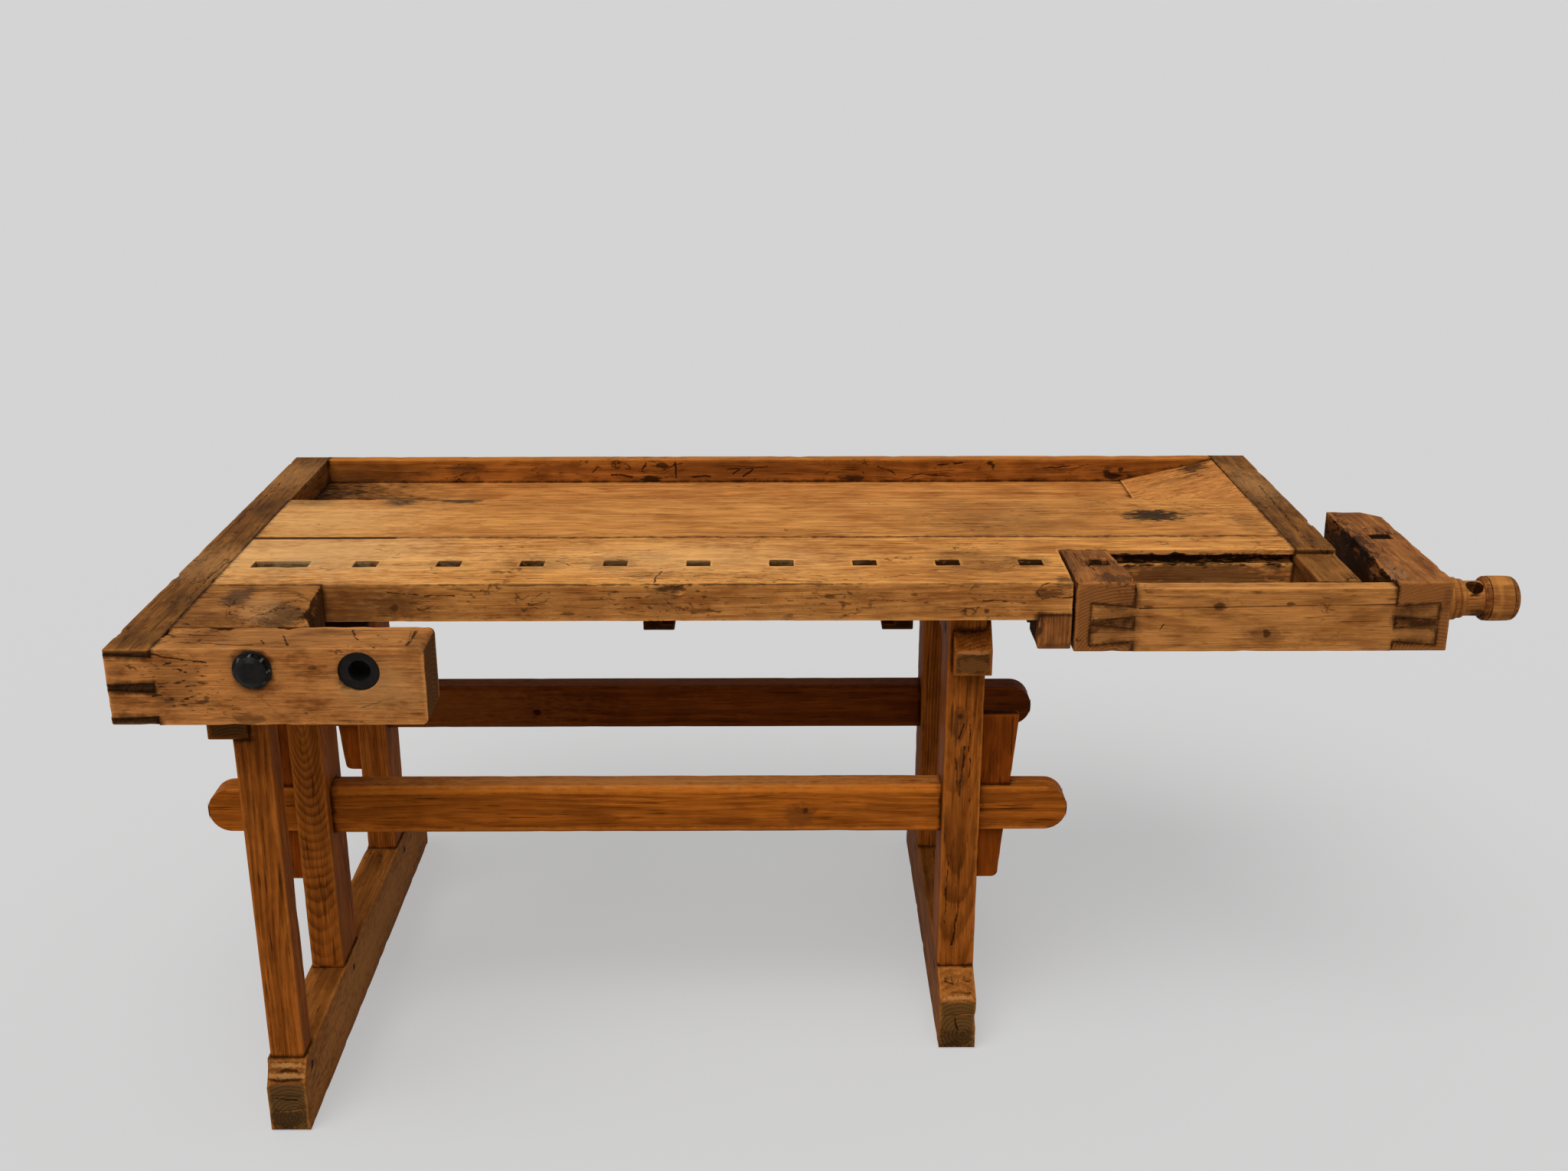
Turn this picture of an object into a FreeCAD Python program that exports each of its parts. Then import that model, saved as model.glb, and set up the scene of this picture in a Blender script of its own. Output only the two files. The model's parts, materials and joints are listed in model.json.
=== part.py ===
import FreeCAD, Part
import os
import re

import Sketcher

# A joiner's bench: two trestles tied by wedged stretchers, a plank top with a tool tray, the arm of a
# shoulder vise at its front left corner and a wooden tail vise at its right end.
#
# Every piece is laid out from one datum corner: X = 0 at the outer face of the left end cap, Y = 0 at the
# front edge of the front plank, Z = 0 on the floor.  Placements then move the bench to its own origin,
# which is on the floor below the middle of its bounding box.

DRIVING = (
    # overall
    ("top_height", 820, "floor to work surface"),
    ("top_length", 1804, "over the outer faces of the end caps"),
    ("top_back", 730, "front edge of the top to its back face"),
    ("plank_thick", 60, "thickness of both planks"),
    ("cap_width", 66, "width of the end caps along the bench"),
    ("cap_depth", 112, "depth of the end caps and of both vises"),
    # planks
    ("front_plank_width", 227, "width of the plank with the dog holes"),
    ("rear_plank_back", 446, "front edge to the tool tray"),
    ("tongue_length", 18, "end tongue of a plank in its cap"),
    ("tongue_thick", 20, "thickness of an end tongue"),
    ("edge_tongue_depth", 12, "tongue between the two planks"),
    ("edge_tongue_thick", 14, "thickness of the tongue between the planks"),
    ("notch_left", 1360, "end of the front plank's full width"),
    ("notch_back", 160, "back wall of the notch for the tail vise"),
    ("groove_depth", 14, "groove in the notch's back wall"),
    ("groove_top", 10, "work surface to the groove"),
    ("groove_height", 15, "height of the groove"),
    # dog holes
    ("dog_count", 9, "square holes in the row"),
    ("dog_first", 276, "middle of the first hole"),
    ("dog_pitch", 129, "hole to hole"),
    ("dog_row", 98, "front edge to the middle of the row"),
    ("dog_length", 36, "hole along the bench"),
    ("dog_width", 28, "hole across the bench"),
    ("slot_left", 102, "long slot, left end"),
    ("slot_right", 188, "long slot, right end"),
    # tool tray
    ("tray_depth", 45, "work surface to the tray floor"),
    ("tray_floor_thick", 15, "tray board"),
    ("tray_lip", 10, "tray board let into caps and back rail"),
    ("tray_rabbet", 12, "tray board let into the rear plank"),
    ("ramp_length", 171, "sloped end of the tray"),
    ("ramp_top", 3, "top of the ramp below the work surface"),
    ("ramp_toe", 2, "thickness of the ramp's toe"),
    ("back_rail_thick", 24, "back rail"),
    ("back_rail_height", 95, "back rail"),
    ("back_tail_low", 9, "back rail's lower tail, its lower edge"),
    ("back_tail_mid", 40, "back rail's lower tail, its upper edge"),
    ("back_tail_next", 58, "back rail's upper tail, its lower edge"),
    ("back_tail_high", 86, "back rail's upper tail, its upper edge"),
    ("back_tail_flare", 3, "spread of a tail at each edge"),
    # shoulder vise
    ("arm_length", 435, "length of the vise arm"),
    ("arm_front", 262, "front edge of the top to the arm's front"),
    ("arm_thick", 84, "arm, front to back"),
    ("arm_tail_low", 13, "arm's lower tail, its lower edge"),
    ("arm_tail_mid", 48, "arm's lower tail, its upper edge"),
    ("arm_tail_next", 63, "arm's upper tail, its lower edge"),
    ("arm_tail_high", 100, "arm's upper tail, its upper edge"),
    ("arm_tail_flare", 3, "spread of a tail at each edge"),
    ("arm_end_round", 9, "rounding of the arm's free end"),
    ("spacer_right", 240, "right face of the spacer block, at its middle"),
    ("spacer_flare", 22, "spread of the spacer block beside the arm"),
    ("spacer_flare_length", 58, "length of that spread"),
    ("spacer_draw", 8, "narrowing of the spacer block towards the plank"),
    ("bolt_across", 201, "left cap to the tie bolt"),
    ("bolt_height", 790, "floor to the tie bolt"),
    ("bolt_radius", 8, "shank of the tie bolt"),
    ("bolt_bore_radius", 8.5, "hole for the tie bolt"),
    ("bolt_end", 146, "end of the tie bolt behind the front edge"),
    ("bolt_head_radius", 24, "corner radius of the bolt's head"),
    ("bolt_head_height", 11, "head without its washer"),
    ("bolt_washer_radius", 27, "washer under the head"),
    ("bolt_washer_thick", 3, "washer under the head"),
    ("bolt_nut_front", 120, "front face of the nut behind the front edge"),
    ("bolt_nut_thick", 16, "square nut"),
    ("bolt_nut_size", 34, "square nut across its flats"),
    ("nut_mortise_width", 38, "mortise for the square nut"),
    ("nut_mortise_depth", 20, "mortise for the square nut"),
    ("vise_nut_across", 345, "left cap to the shoulder vise's nut"),
    ("vise_nut_height", 786, "floor to the shoulder vise's nut"),
    ("vise_nut_bore", 15, "radius of the nut's bore"),
    ("vise_nut_radius", 24, "radius of the nut's sleeve"),
    ("vise_nut_flange", 28, "radius of the nut's flange"),
    ("vise_nut_sunk", 5, "flange below the arm's front"),
    ("vise_nut_flange_thick", 8, "flange"),
    ("vise_nut_ease", 0.3, "room round the flange and sleeve"),
    # fittings under the planks
    ("end_jaw_left", 1309, "fixed jaw block, left face"),
    ("end_jaw_bottom", 713, "fixed jaw block, floor to its underside"),
    ("end_jaw_top", 769, "fixed jaw block, floor to its top"),
    ("end_jaw_back", 158, "fixed jaw block, front to back"),
    ("batten_left", 200, "batten, left face"),
    ("batten_right", 293, "batten, right face"),
    ("batten_front", 18, "batten, front end"),
    ("batten_back", 430, "batten, back end"),
    ("batten_thick", 22, "batten"),
    ("runner_left", 706, "left drawer runner, outer face"),
    ("runner_right", 1125, "right drawer runner, outer face"),
    ("runner_front", 60, "drawer runners, front end"),
    ("runner_back", 430, "drawer runners, back end"),
    ("runner_web", 30, "upright part of a runner"),
    ("runner_height", 38, "plank to the underside of a runner"),
    ("runner_lip", 49, "foot of a runner, outer face to its edge"),
    ("runner_lip_thick", 10, "foot of a runner"),
    # tail vise
    ("jaw_left", 1364, "jaw block, left face with the vise closed"),
    ("jaw_right", 1454, "jaw block, right face at the front"),
    ("jaw_back_right", 1436, "jaw block, right face at the back"),
    ("jaw_back", 158, "jaw block, front to back"),
    ("jaw_dog_middle", 1411, "dog hole in the jaw block"),
    ("jaw_tongue_sunk", 8, "tongue let into the jaw block"),
    ("jaw_tongue_ease", 2, "room between the tongue and its groove"),
    ("front_rail_thick", 27, "front rail"),
    ("front_rail_top", 9, "work surface to the top of the front rail"),
    ("front_tail_length", 66, "tails at both ends of the front rail"),
    ("front_tail_low", 17, "front rail's lower tail, its lower edge"),
    ("front_tail_mid", 37, "front rail's lower tail, its upper edge"),
    ("front_tail_next", 57, "front rail's upper tail, its lower edge"),
    ("front_tail_high", 72, "front rail's upper tail, its upper edge"),
    ("front_tail_flare", 6, "spread of a tail at each edge"),
    ("end_block_left", 1848, "end block, left face with the vise closed"),
    ("end_block_thick", 85, "end block along the bench"),
    ("end_block_length", 362, "end block across the bench"),
    ("end_block_cut", 28, "cut-off corner of the end block"),
    ("nut_block_front", 29, "front face of the nut block on the right cap"),
    ("nut_block_drop", 9, "work surface to the top of the nut block"),
    ("guide_left", 1372, "guide bar, left end"),
    ("guide_front", 197, "guide bar, front face"),
    ("guide_width", 56, "guide bar, front to back"),
    ("guide_bottom", 720, "floor to the guide bar"),
    ("guide_height", 36, "guide bar"),
    ("guide_ease", 1, "room round the guide bar"),
    ("guide_tenon_step", 8, "shoulders of the guide bar's tenon, front and back"),
    ("bridge_left", 1610, "bridge, left face"),
    ("bridge_length", 45, "bridge along the bench"),
    ("bridge_wall", 25, "cheeks of the bridge"),
    ("bridge_floor", 17, "floor of the bridge"),
    ("key_left", 1877, "guide wedge, left face"),
    ("key_top_width", 35, "guide wedge at its top"),
    ("key_bottom_width", 29, "guide wedge at its bottom"),
    ("key_front", 212, "guide wedge, front face"),
    ("key_thick", 25, "guide wedge"),
    ("key_sunk", 4, "top of the guide wedge below the end block's"),
    # vise screw
    ("screw_row", 85, "front edge to the screw's axis"),
    ("screw_height", 763, "floor to the screw's axis"),
    ("screw_tip", 1500, "left end of the screw with the vise closed"),
    ("screw_radius", 23.5, "shaft over its thread"),
    ("screw_ease", 0.35, "room round the shaft"),
    ("garter_left", 1884, "garter groove in the shaft"),
    ("garter_width", 13, "garter groove"),
    ("garter_radius", 15.5, "shaft in the garter groove"),
    ("garter_ease", 0.5, "room round the garter key"),
    ("garter_reach", 30, "half width of the garter key"),
    ("garter_top", 13, "arms of the garter key above the screw's axis"),
    ("collar_gap", 0.5, "end block to the screw's collar"),
    ("collar_radius", 36, "collar of the screw"),
    ("collar_length", 26, "plain part of the collar"),
    ("bead_length", 8, "each of the two beads beside the collar"),
    ("bead_step", 2.5, "fall in radius from bead to bead"),
    ("bead_groove", 2, "width of the grooves between the beads"),
    ("bead_groove_depth", 2.5, "depth of those grooves"),
    ("neck_radius", 28, "neck between collar and head"),
    ("head_left", 2008, "head of the screw, left end"),
    ("head_length", 56, "head of the screw"),
    ("head_radius", 35.5, "head of the screw"),
    ("head_round", 9, "rounding of the head's outer rim"),
    ("head_shoulder", 5, "rounding of the head's inner rim"),
    ("tommy_middle", 1994, "tommy-bar hole"),
    ("tommy_radius", 13, "tommy-bar hole"),
    ("tommy_tilt", 28, "lean of the tommy-bar hole, in degrees"),
    # trestles
    ("left_trestle", 163, "middle of the left posts"),
    ("right_trestle", 1210, "middle of the right posts"),
    ("left_post_width", 52, "left posts along the bench"),
    ("right_post_width", 60, "right posts along the bench"),
    ("post_depth", 96, "middle and rear posts, front to back"),
    ("middle_row", 62, "front face of the middle posts"),
    ("rear_row", 478, "front face of the rear posts"),
    ("front_row", 188, "front edge of the top to the front post"),
    ("front_post_depth", 46, "front post, front to back"),
    ("post_tenon_inset", 14, "shoulders of a post's tenon"),
    ("post_tenon_length", 62, "tenon of a post in its foot"),
    ("foot_width", 60, "feet along the bench"),
    ("foot_height", 120, "feet"),
    ("left_foot_front", 209, "front edge of the top to the left foot's nose"),
    ("foot_back", 728, "back end of the feet"),
    ("left_nose", 84, "left foot, upright part of its nose"),
    ("left_slope", 19, "left foot, run of its slope"),
    ("right_nose", 93, "right foot, upright part of its nose"),
    ("right_slope", 57, "right foot, run of its slope"),
    ("foot_round", 16, "rounding of a foot's nose"),
    ("foot_toe_round", 6, "rounding of a foot's lower edge"),
    ("bearer_bottom", 652, "floor to the top rails"),
    ("bearer_back", 700, "back end of the top rails"),
    ("left_bearer_left", 102, "left top rail, outer face"),
    ("left_bearer_front", 189, "front edge of the top to the left top rail's end"),
    ("right_bearer_left", 1188, "right top rail, inner face"),
    ("right_bearer_front", 40, "right top rail's front end"),
    ("bearer_width", 60, "top rails along the bench"),
    ("bearer_slope_run", 55, "slope on the right top rail's end"),
    ("bearer_slope_rise", 67, "slope on the right top rail's end"),
    # stretchers and their wedges
    ("stretcher_height", 84, "stretcher between the posts"),
    ("stretcher_bottom", 357, "floor to the stretchers"),
    ("stretcher_thick", 52, "stretcher between the posts"),
    ("stretcher_bevel", 7, "bevelled edges of the stretchers"),
    ("tenon_height", 76, "through tenon"),
    ("tenon_thick", 44, "through tenon"),
    ("tenon_round", 37, "rounded end of a through tenon"),
    ("tenon_reach", 150, "tenon beyond the left post"),
    ("tenon_reach_right", 146, "tenon beyond the right post"),
    ("wedge_thick", 22, "wedges"),
    ("wedge_bottom", 268, "floor to the wedges"),
    ("wedge_top", 561, "floor to the top of a whole wedge"),
    ("short_wedge_top", 446, "floor to the top of the rear right wedge"),
    ("wedge_bottom_width", 38, "wedge at its foot"),
    ("wedge_top_width", 63, "wedge at its top"),
    ("wedge_draw", 6, "slot for a wedge inside the post's face"),
    ("wedge_round", 11, "rounding of a wedge's foot"),
    # pegs and dowels
    ("peg_radius", 6, "pegs through the feet"),
    ("peg_height", 92, "floor to the pegs in the feet"),
    ("lap_peg_radius", 8, "pegs through the top rails"),
    ("lap_peg_height", 708, "floor to the pegs in the top rails"),
    ("front_lap_peg_height", 680, "floor to the peg above the front post"),
    ("dowel_radius", 10, "dowels between top rails and top"),
    ("dowel_front", 256, "front dowels"),
    ("dowel_back", 400, "back dowels"),
    ("dowel_bottom", 735, "floor to the dowels"),
    ("dowel_top", 782, "floor to the top of the dowels"),
    # allowance of the cutting tools
    ("overcut", 2, "how far a cutting tool runs past a face"),
)

ALIASES = {alias for alias, value, meaning in DRIVING}

# Places that several pieces share, as expressions of the driving dimensions.
PLANK_BOTTOM = "(top_height - plank_thick)"
CAP_BOTTOM = "(top_height - cap_depth)"
RIGHT_CAP = "(top_length - cap_width)"
BACK_RAIL_FRONT = "(top_back - back_rail_thick)"
BACK_RAIL_BOTTOM = "(top_height - back_rail_height)"
TRAY_FLOOR = "(top_height - tray_depth)"
ARM_BACK = "(arm_thick - arm_front)"
HEAD_END = "(head_left + head_length)"
TENON_LEFT = "(left_trestle - left_post_width / 2 - tenon_reach)"
TENON_RIGHT = "(right_trestle + right_post_width / 2 + tenon_reach_right)"
BOLT_HEAD = "(arm_front + bolt_washer_thick + bolt_head_height)"
END_BLOCK_RIGHT = "(end_block_left + end_block_thick)"

ORIGIN = (f"(({TENON_LEFT} + {HEAD_END}) / 2)", f"((top_back - {BOLT_HEAD}) / 2)", "0")

UNTURNED = FreeCAD.Rotation()
Z_TO_X = FreeCAD.Rotation(FreeCAD.Vector(0, 1, 0), 90)
Z_TO_Y = FreeCAD.Rotation(FreeCAD.Vector(1, 0, 0), -90)
X_TO_Y = FreeCAD.Rotation(FreeCAD.Vector(0, 0, 1), 90)

# For each sketch plane: how its offset runs, whether a pad is reversed to run along the positive axis,
# and which model axes the sketch's own two axes are.
PLANES = {
    "XY": ("XY_Plane", "", False, (0, 1)),
    "XZ": ("XZ_Plane", "-", True, (0, 2)),
    "YZ": ("YZ_Plane", "", False, (1, 2)),
}

doc = FreeCAD.newDocument("joiners_bench")
sub_parts = []


# ---------------------------------------------------------------- sheet and bindings


def fill_sheet():
    sheet = doc.addObject("Spreadsheet::Sheet", "dims")
    for row, (alias, value, meaning) in enumerate(DRIVING, start=1):
        sheet.set(f"A{row}", alias)
        sheet.set(f"B{row}", str(value))
        sheet.set(f"C{row}", meaning)
        sheet.setAlias(f"B{row}", alias)
    doc.recompute()


def on_sheet(text):
    """The expression with every driving dimension read from the sheet."""
    return re.sub(r"[a-z_]+", lambda word: "dims." + word[0] if word[0] in ALIASES else word[0], text)


def bind(thing, prop, text):
    thing.setExpression(prop, on_sheet(text))


def place(thing, corner, turn=UNTURNED):
    """Put a piece at a place given from the datum corner."""
    thing.Placement = FreeCAD.Placement(FreeCAD.Vector(), turn)
    for axis, text, origin in zip("xyz", corner, ORIGIN):
        bind(thing, f".Placement.Base.{axis}", f"{text} - {origin}")


def keep(thing, node):
    thing.Label = node
    sub_parts.append(thing)
    return thing


# ---------------------------------------------------------------- primitives and booleans


def box(name, across, along, up):
    """A squared piece, each side from its low place to its high one."""
    piece = doc.addObject("Part::Box", name)
    for prop, (low, high) in zip(("Length", "Width", "Height"), (across, along, up)):
        bind(piece, prop, f"({high}) - ({low})")
    place(piece, (f"({across[0]})", f"({along[0]})", f"({up[0]})"))
    return piece


def rod(name, start, radius, length, turn=UNTURNED):
    piece = doc.addObject("Part::Cylinder", name)
    bind(piece, "Radius", radius)
    bind(piece, "Height", length)
    place(piece, start, turn)
    return piece


def whittled(name, start, radius, length, turn=UNTURNED):
    """An eight-sided peg or dowel."""
    piece = doc.addObject("Part::Prism", name)
    piece.Polygon = 8
    bind(piece, "Circumradius", radius)
    bind(piece, "Height", length)
    place(piece, start, turn)
    return piece


def fuse(name, pieces):
    joined = doc.addObject("Part::MultiFuse", name)
    joined.Shapes = pieces
    return joined


def cut(name, blank, tools):
    """The blank less its mating pieces and cutting tools."""
    worked = doc.addObject("Part::Cut", name)
    worked.Base = blank
    worked.Tool = tools[0] if len(tools) == 1 else fuse(name + "_cuts", tools)
    return worked


# ---------------------------------------------------------------- sketched pieces


def new_body(name, corner=("0", "0", "0"), turn=UNTURNED):
    body = doc.addObject("PartDesign::Body", name)
    place(body, corner, turn)
    return body


def new_sketch(body, plane, offset="0"):
    role, sign, _, _ = PLANES[plane]
    sketch = body.newObject("Sketcher::SketchObject", body.Name + "_sketch")
    support = next(item for item in body.Origin.OriginFeatures if item.Role == role)
    sketch.AttachmentSupport = [(support, "")]
    sketch.MapMode = "FlatFace"
    bind(sketch, ".AttachmentOffset.Base.z", f"{sign}({offset})")
    return sketch


def outline(sketch, points):
    """A closed outline of straight runs whose corners are bound to expressions."""
    count = len(points)
    rough = [FreeCAD.Vector(100 * index, 100 * (index % 3) + index * index, 0) for index in range(count)]
    for index in range(count):
        sketch.addGeometry(Part.LineSegment(rough[index], rough[(index + 1) % count]))
    for index in range(count):
        sketch.addConstraint(Sketcher.Constraint("Coincident", index, 2, (index + 1) % count, 1))
    for index, (right, up) in enumerate(points):
        places = (("DistanceX", right, rough[index].x), ("DistanceY", up, rough[index].y))
        for kind, text, rough_value in places:
            number = sketch.addConstraint(Sketcher.Constraint(kind, -1, 1, index, 1, rough_value))
            bind(sketch, f"Constraints[{number}]", text)


def pad(body, sketch, plane, length, centred=False):
    feature = body.newObject("PartDesign::Pad", body.Name + "_pad")
    feature.Profile = sketch
    bind(feature, "Length", length)
    feature.Reversed = PLANES[plane][2]
    if centred:
        feature.SideType = "Symmetric"
    return feature


def prism(name, plane, offset, points, length):
    """A profiled piece, from the offset plane along the positive axis."""
    body = new_body(name)
    sketch = new_sketch(body, plane, offset)
    outline(sketch, points)
    pad(body, sketch, plane, length)
    return body


def corner_edges(body, plane, corners):
    """Edges of the body's newest feature that stand on the given corners of its first sketch."""
    doc.recompute()
    first, second = PLANES[plane][3]
    sketch = body.Group[0]
    wanted = [sketch.Geometry[index].StartPoint for index in corners]
    names = []
    for number, edge in enumerate(body.Tip.Shape.Edges, start=1):
        ends = [vertex.Point for vertex in edge.Vertexes]
        for corner in wanted:
            if all(abs(end[first] - corner.x) + abs(end[second] - corner.y) < 0.001 for end in ends):
                names.append(f"Edge{number}")
    return names


def round_edges(body, names, radius):
    fillet = body.newObject("PartDesign::Fillet", body.Name + "_round")
    fillet.Base = (body.Group[-2], names)
    bind(fillet, "Radius", radius)
    body.Tip = fillet
    doc.recompute()


def bevel_edges(body, names, size):
    bevel = body.newObject("PartDesign::Chamfer", body.Name + "_bevel")
    bevel.Base = (body.Group[-2], names)
    bind(bevel, "Size", size)
    body.Tip = bevel
    doc.recompute()


def turned(name, points, corner, turn=UNTURNED):
    """A lathe-turned piece: points are places along its own X axis and radii."""
    body = new_body(name, corner, turn)
    sketch = new_sketch(body, "XY")
    outline(sketch, points)
    turning = body.newObject("PartDesign::Revolution", name + "_turning")
    turning.Profile = sketch
    turning.ReferenceAxis = (sketch, ["H_Axis"])
    return body


def tails_down(root, tip, base, family):
    """Corners of two dovetails, from the upper tail to the lower one.

    root and tip are places along the bench, base is the height that the family's cells count from.
    """
    flare = f"{family}_tail_flare"
    corners = []
    for low, high in (("next", "high"), ("low", "mid")):
        top = f"{base} + {family}_tail_{high}"
        bottom = f"{base} + {family}_tail_{low}"
        corners += [(root, top), (tip, f"{top} + {flare}"), (tip, f"{bottom} - {flare}"), (root, bottom)]
    return corners


# ---------------------------------------------------------------- bench top


def dog_hole(name, middle):
    half = "dog_length / 2"
    return box(
        name,
        (f"{middle} - {half}", f"{middle} + {half}"),
        ("dog_row - dog_width / 2", "dog_row + dog_width / 2"),
        (f"{CAP_BOTTOM} - overcut", "top_height + overcut"),
    )


def dog_row():
    count = int(doc.dims.get("dog_count"))
    return [dog_hole(f"dog_hole_{index}", f"(dog_first + {index} * dog_pitch)") for index in range(count)]


def end_tongue(name, cap_face, side, front, back):
    """The tongue of a plank in an end cap; side is -1 at the left end and 1 at the right."""
    low, high = (cap_face, f"{cap_face} + tongue_length")
    if side < 0:
        low, high = (f"{cap_face} - tongue_length", cap_face)
    middle = f"({PLANK_BOTTOM} + plank_thick / 2)"
    up = (f"{middle} - tongue_thick / 2", f"{middle} + tongue_thick / 2")
    return box(name, (low, high), (front, back), up)


def rear_plank_blank():
    middle = f"({PLANK_BOTTOM} + plank_thick / 2)"
    board = box(
        "rear_board",
        ("cap_width", RIGHT_CAP),
        ("front_plank_width", "rear_plank_back"),
        (PLANK_BOTTOM, "top_height"),
    )
    edge_tongue = box(
        "rear_edge_tongue",
        ("cap_width", RIGHT_CAP),
        ("front_plank_width - edge_tongue_depth", "front_plank_width"),
        (f"{middle} - edge_tongue_thick / 2", f"{middle} + edge_tongue_thick / 2"),
    )
    back = "rear_plank_back - tray_rabbet"
    left = end_tongue("rear_left_tongue", "cap_width", -1, "front_plank_width", back)
    right = end_tongue("rear_right_tongue", RIGHT_CAP, 1, "front_plank_width", back)
    return fuse("rear_plank_blank", [board, edge_tongue, left, right])


def front_plank_blank():
    up = (PLANK_BOTTOM, "top_height")
    board = box("front_board", ("cap_width", "notch_left"), ("0", "front_plank_width"), up)
    strip = box("front_strip", ("notch_left", RIGHT_CAP), ("notch_back", "front_plank_width"), up)
    left = end_tongue("front_left_tongue", "cap_width", -1, "edge_tongue_depth", "front_plank_width")
    right = end_tongue("front_right_tongue", RIGHT_CAP, 1, "notch_back + groove_depth", "front_plank_width")
    return fuse("front_plank_blank", [board, strip, left, right])


def jaw_groove():
    return box(
        "jaw_groove",
        ("notch_left - overcut", RIGHT_CAP),
        ("notch_back - overcut", "notch_back + groove_depth"),
        ("top_height - groove_top - groove_height", "top_height - groove_top"),
    )


def long_slot():
    return box(
        "long_slot",
        ("slot_left", "slot_right"),
        ("dog_row - dog_width / 2", "dog_row + dog_width / 2"),
        (f"{PLANK_BOTTOM} - overcut", "top_height + overcut"),
    )


def tray_floor():
    board = box(
        "tray_floor",
        ("cap_width - tray_lip", f"{RIGHT_CAP} + tray_lip"),
        ("rear_plank_back - tray_rabbet", f"{BACK_RAIL_FRONT} + tray_lip"),
        (f"{TRAY_FLOOR} - tray_floor_thick", TRAY_FLOOR),
    )
    return keep(board, "tray_floor")


def tray_ramp():
    toe = f"{RIGHT_CAP} - ramp_length"
    points = [
        (toe, TRAY_FLOOR),
        (RIGHT_CAP, TRAY_FLOOR),
        (RIGHT_CAP, "top_height - ramp_top"),
        (toe, f"{TRAY_FLOOR} + ramp_toe"),
    ]
    width = f"{BACK_RAIL_FRONT} - rear_plank_back"
    return keep(prism("tray_ramp", "XZ", "rear_plank_back", points, width), "tray_ramp")


def back_rail_blank():
    """The back rail with tails at both ends, outlined from its upper left root."""
    left = tails_down("cap_width", "0", BACK_RAIL_BOTTOM, "back")
    right = tails_down(RIGHT_CAP, "top_length", BACK_RAIL_BOTTOM, "back")
    points = [("cap_width", "top_height"), *left, ("cap_width", BACK_RAIL_BOTTOM)]
    points += [(RIGHT_CAP, BACK_RAIL_BOTTOM), *reversed(right), (RIGHT_CAP, "top_height")]
    return prism("back_rail_blank", "XZ", BACK_RAIL_FRONT, points, "back_rail_thick")


def locating_dowels():
    """Dowels that stand in the top rails and reach into the rear plank."""
    middles = ("left_bearer_left + bearer_width / 2", "right_bearer_left + bearer_width / 2")
    rods = []
    for across in middles:
        for along in ("dowel_front", "dowel_back"):
            start = (f"({across})", along, "dowel_bottom")
            rods.append(whittled("dowel", start, "dowel_radius", "dowel_top - dowel_bottom"))
    group = doc.addObject("Part::Compound", "locating_dowels")
    group.Links = rods
    return keep(group, "locating_dowels")


def end_jaw_block(dog_holes):
    blank = box(
        "end_jaw_blank",
        ("end_jaw_left", "notch_left"),
        ("0", "end_jaw_back"),
        ("end_jaw_bottom", "end_jaw_top"),
    )
    return keep(cut("end_jaw_block", blank, [dog_holes[-1]]), "end_jaw_block")


def end_jaw_housing():
    """The housing for the fixed jaw block in the underside of the plank."""
    return box(
        "end_jaw_housing",
        ("end_jaw_left", "notch_left + overcut"),
        ("-overcut", "end_jaw_back"),
        ("end_jaw_bottom", "end_jaw_top"),
    )


def locating_batten(dog_holes):
    blank = box(
        "batten_blank",
        ("batten_left", "batten_right"),
        ("batten_front", "batten_back"),
        (f"{PLANK_BOTTOM} - batten_thick", PLANK_BOTTOM),
    )
    return keep(cut("locating_batten", blank, [dog_holes[0]]), "locating_batten")


def drawer_runner(node, outer, side):
    """An L-shaped runner whose foot points along side, 1 to the right and -1 to the left."""
    bottom = f"{PLANK_BOTTOM} - runner_height"
    web = f"{outer} + ({side}) * runner_web"
    lip = f"{outer} + ({side}) * runner_lip"
    points = [
        (outer, PLANK_BOTTOM),
        (outer, bottom),
        (lip, bottom),
        (lip, f"{bottom} + runner_lip_thick"),
        (web, f"{bottom} + runner_lip_thick"),
        (web, PLANK_BOTTOM),
    ]
    return keep(prism(node, "XZ", "runner_front", points, "runner_back - runner_front"), node)


def guide_bridge():
    """The bracket that carries the guide bar under the planks."""
    front = "guide_front - guide_ease - bridge_wall"
    back = "guide_front + guide_width + guide_ease + bridge_wall"
    floor = "guide_bottom - guide_ease"
    points = [
        (front, PLANK_BOTTOM),
        (front, f"{floor} - bridge_floor"),
        (back, f"{floor} - bridge_floor"),
        (back, PLANK_BOTTOM),
        (f"{back} - bridge_wall", PLANK_BOTTOM),
        (f"{back} - bridge_wall", floor),
        (f"{front} + bridge_wall", floor),
        (f"{front} + bridge_wall", PLANK_BOTTOM),
    ]
    return keep(prism("guide_bridge", "YZ", "bridge_left", points, "bridge_length"), "guide_bridge")


def guide_passage():
    return box(
        "guide_passage",
        (f"{RIGHT_CAP} - overcut", "top_length + overcut"),
        ("guide_front - guide_ease", "guide_front + guide_width + guide_ease"),
        ("guide_bottom - guide_ease", "guide_bottom + guide_height + guide_ease"),
    )


def screw_bore(name, left, right):
    start = (f"({left} - overcut)", "screw_row", "screw_height")
    length = f"{right} - {left} + 2 * overcut"
    return rod(name, start, "screw_radius + screw_ease", length, Z_TO_X)


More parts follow.
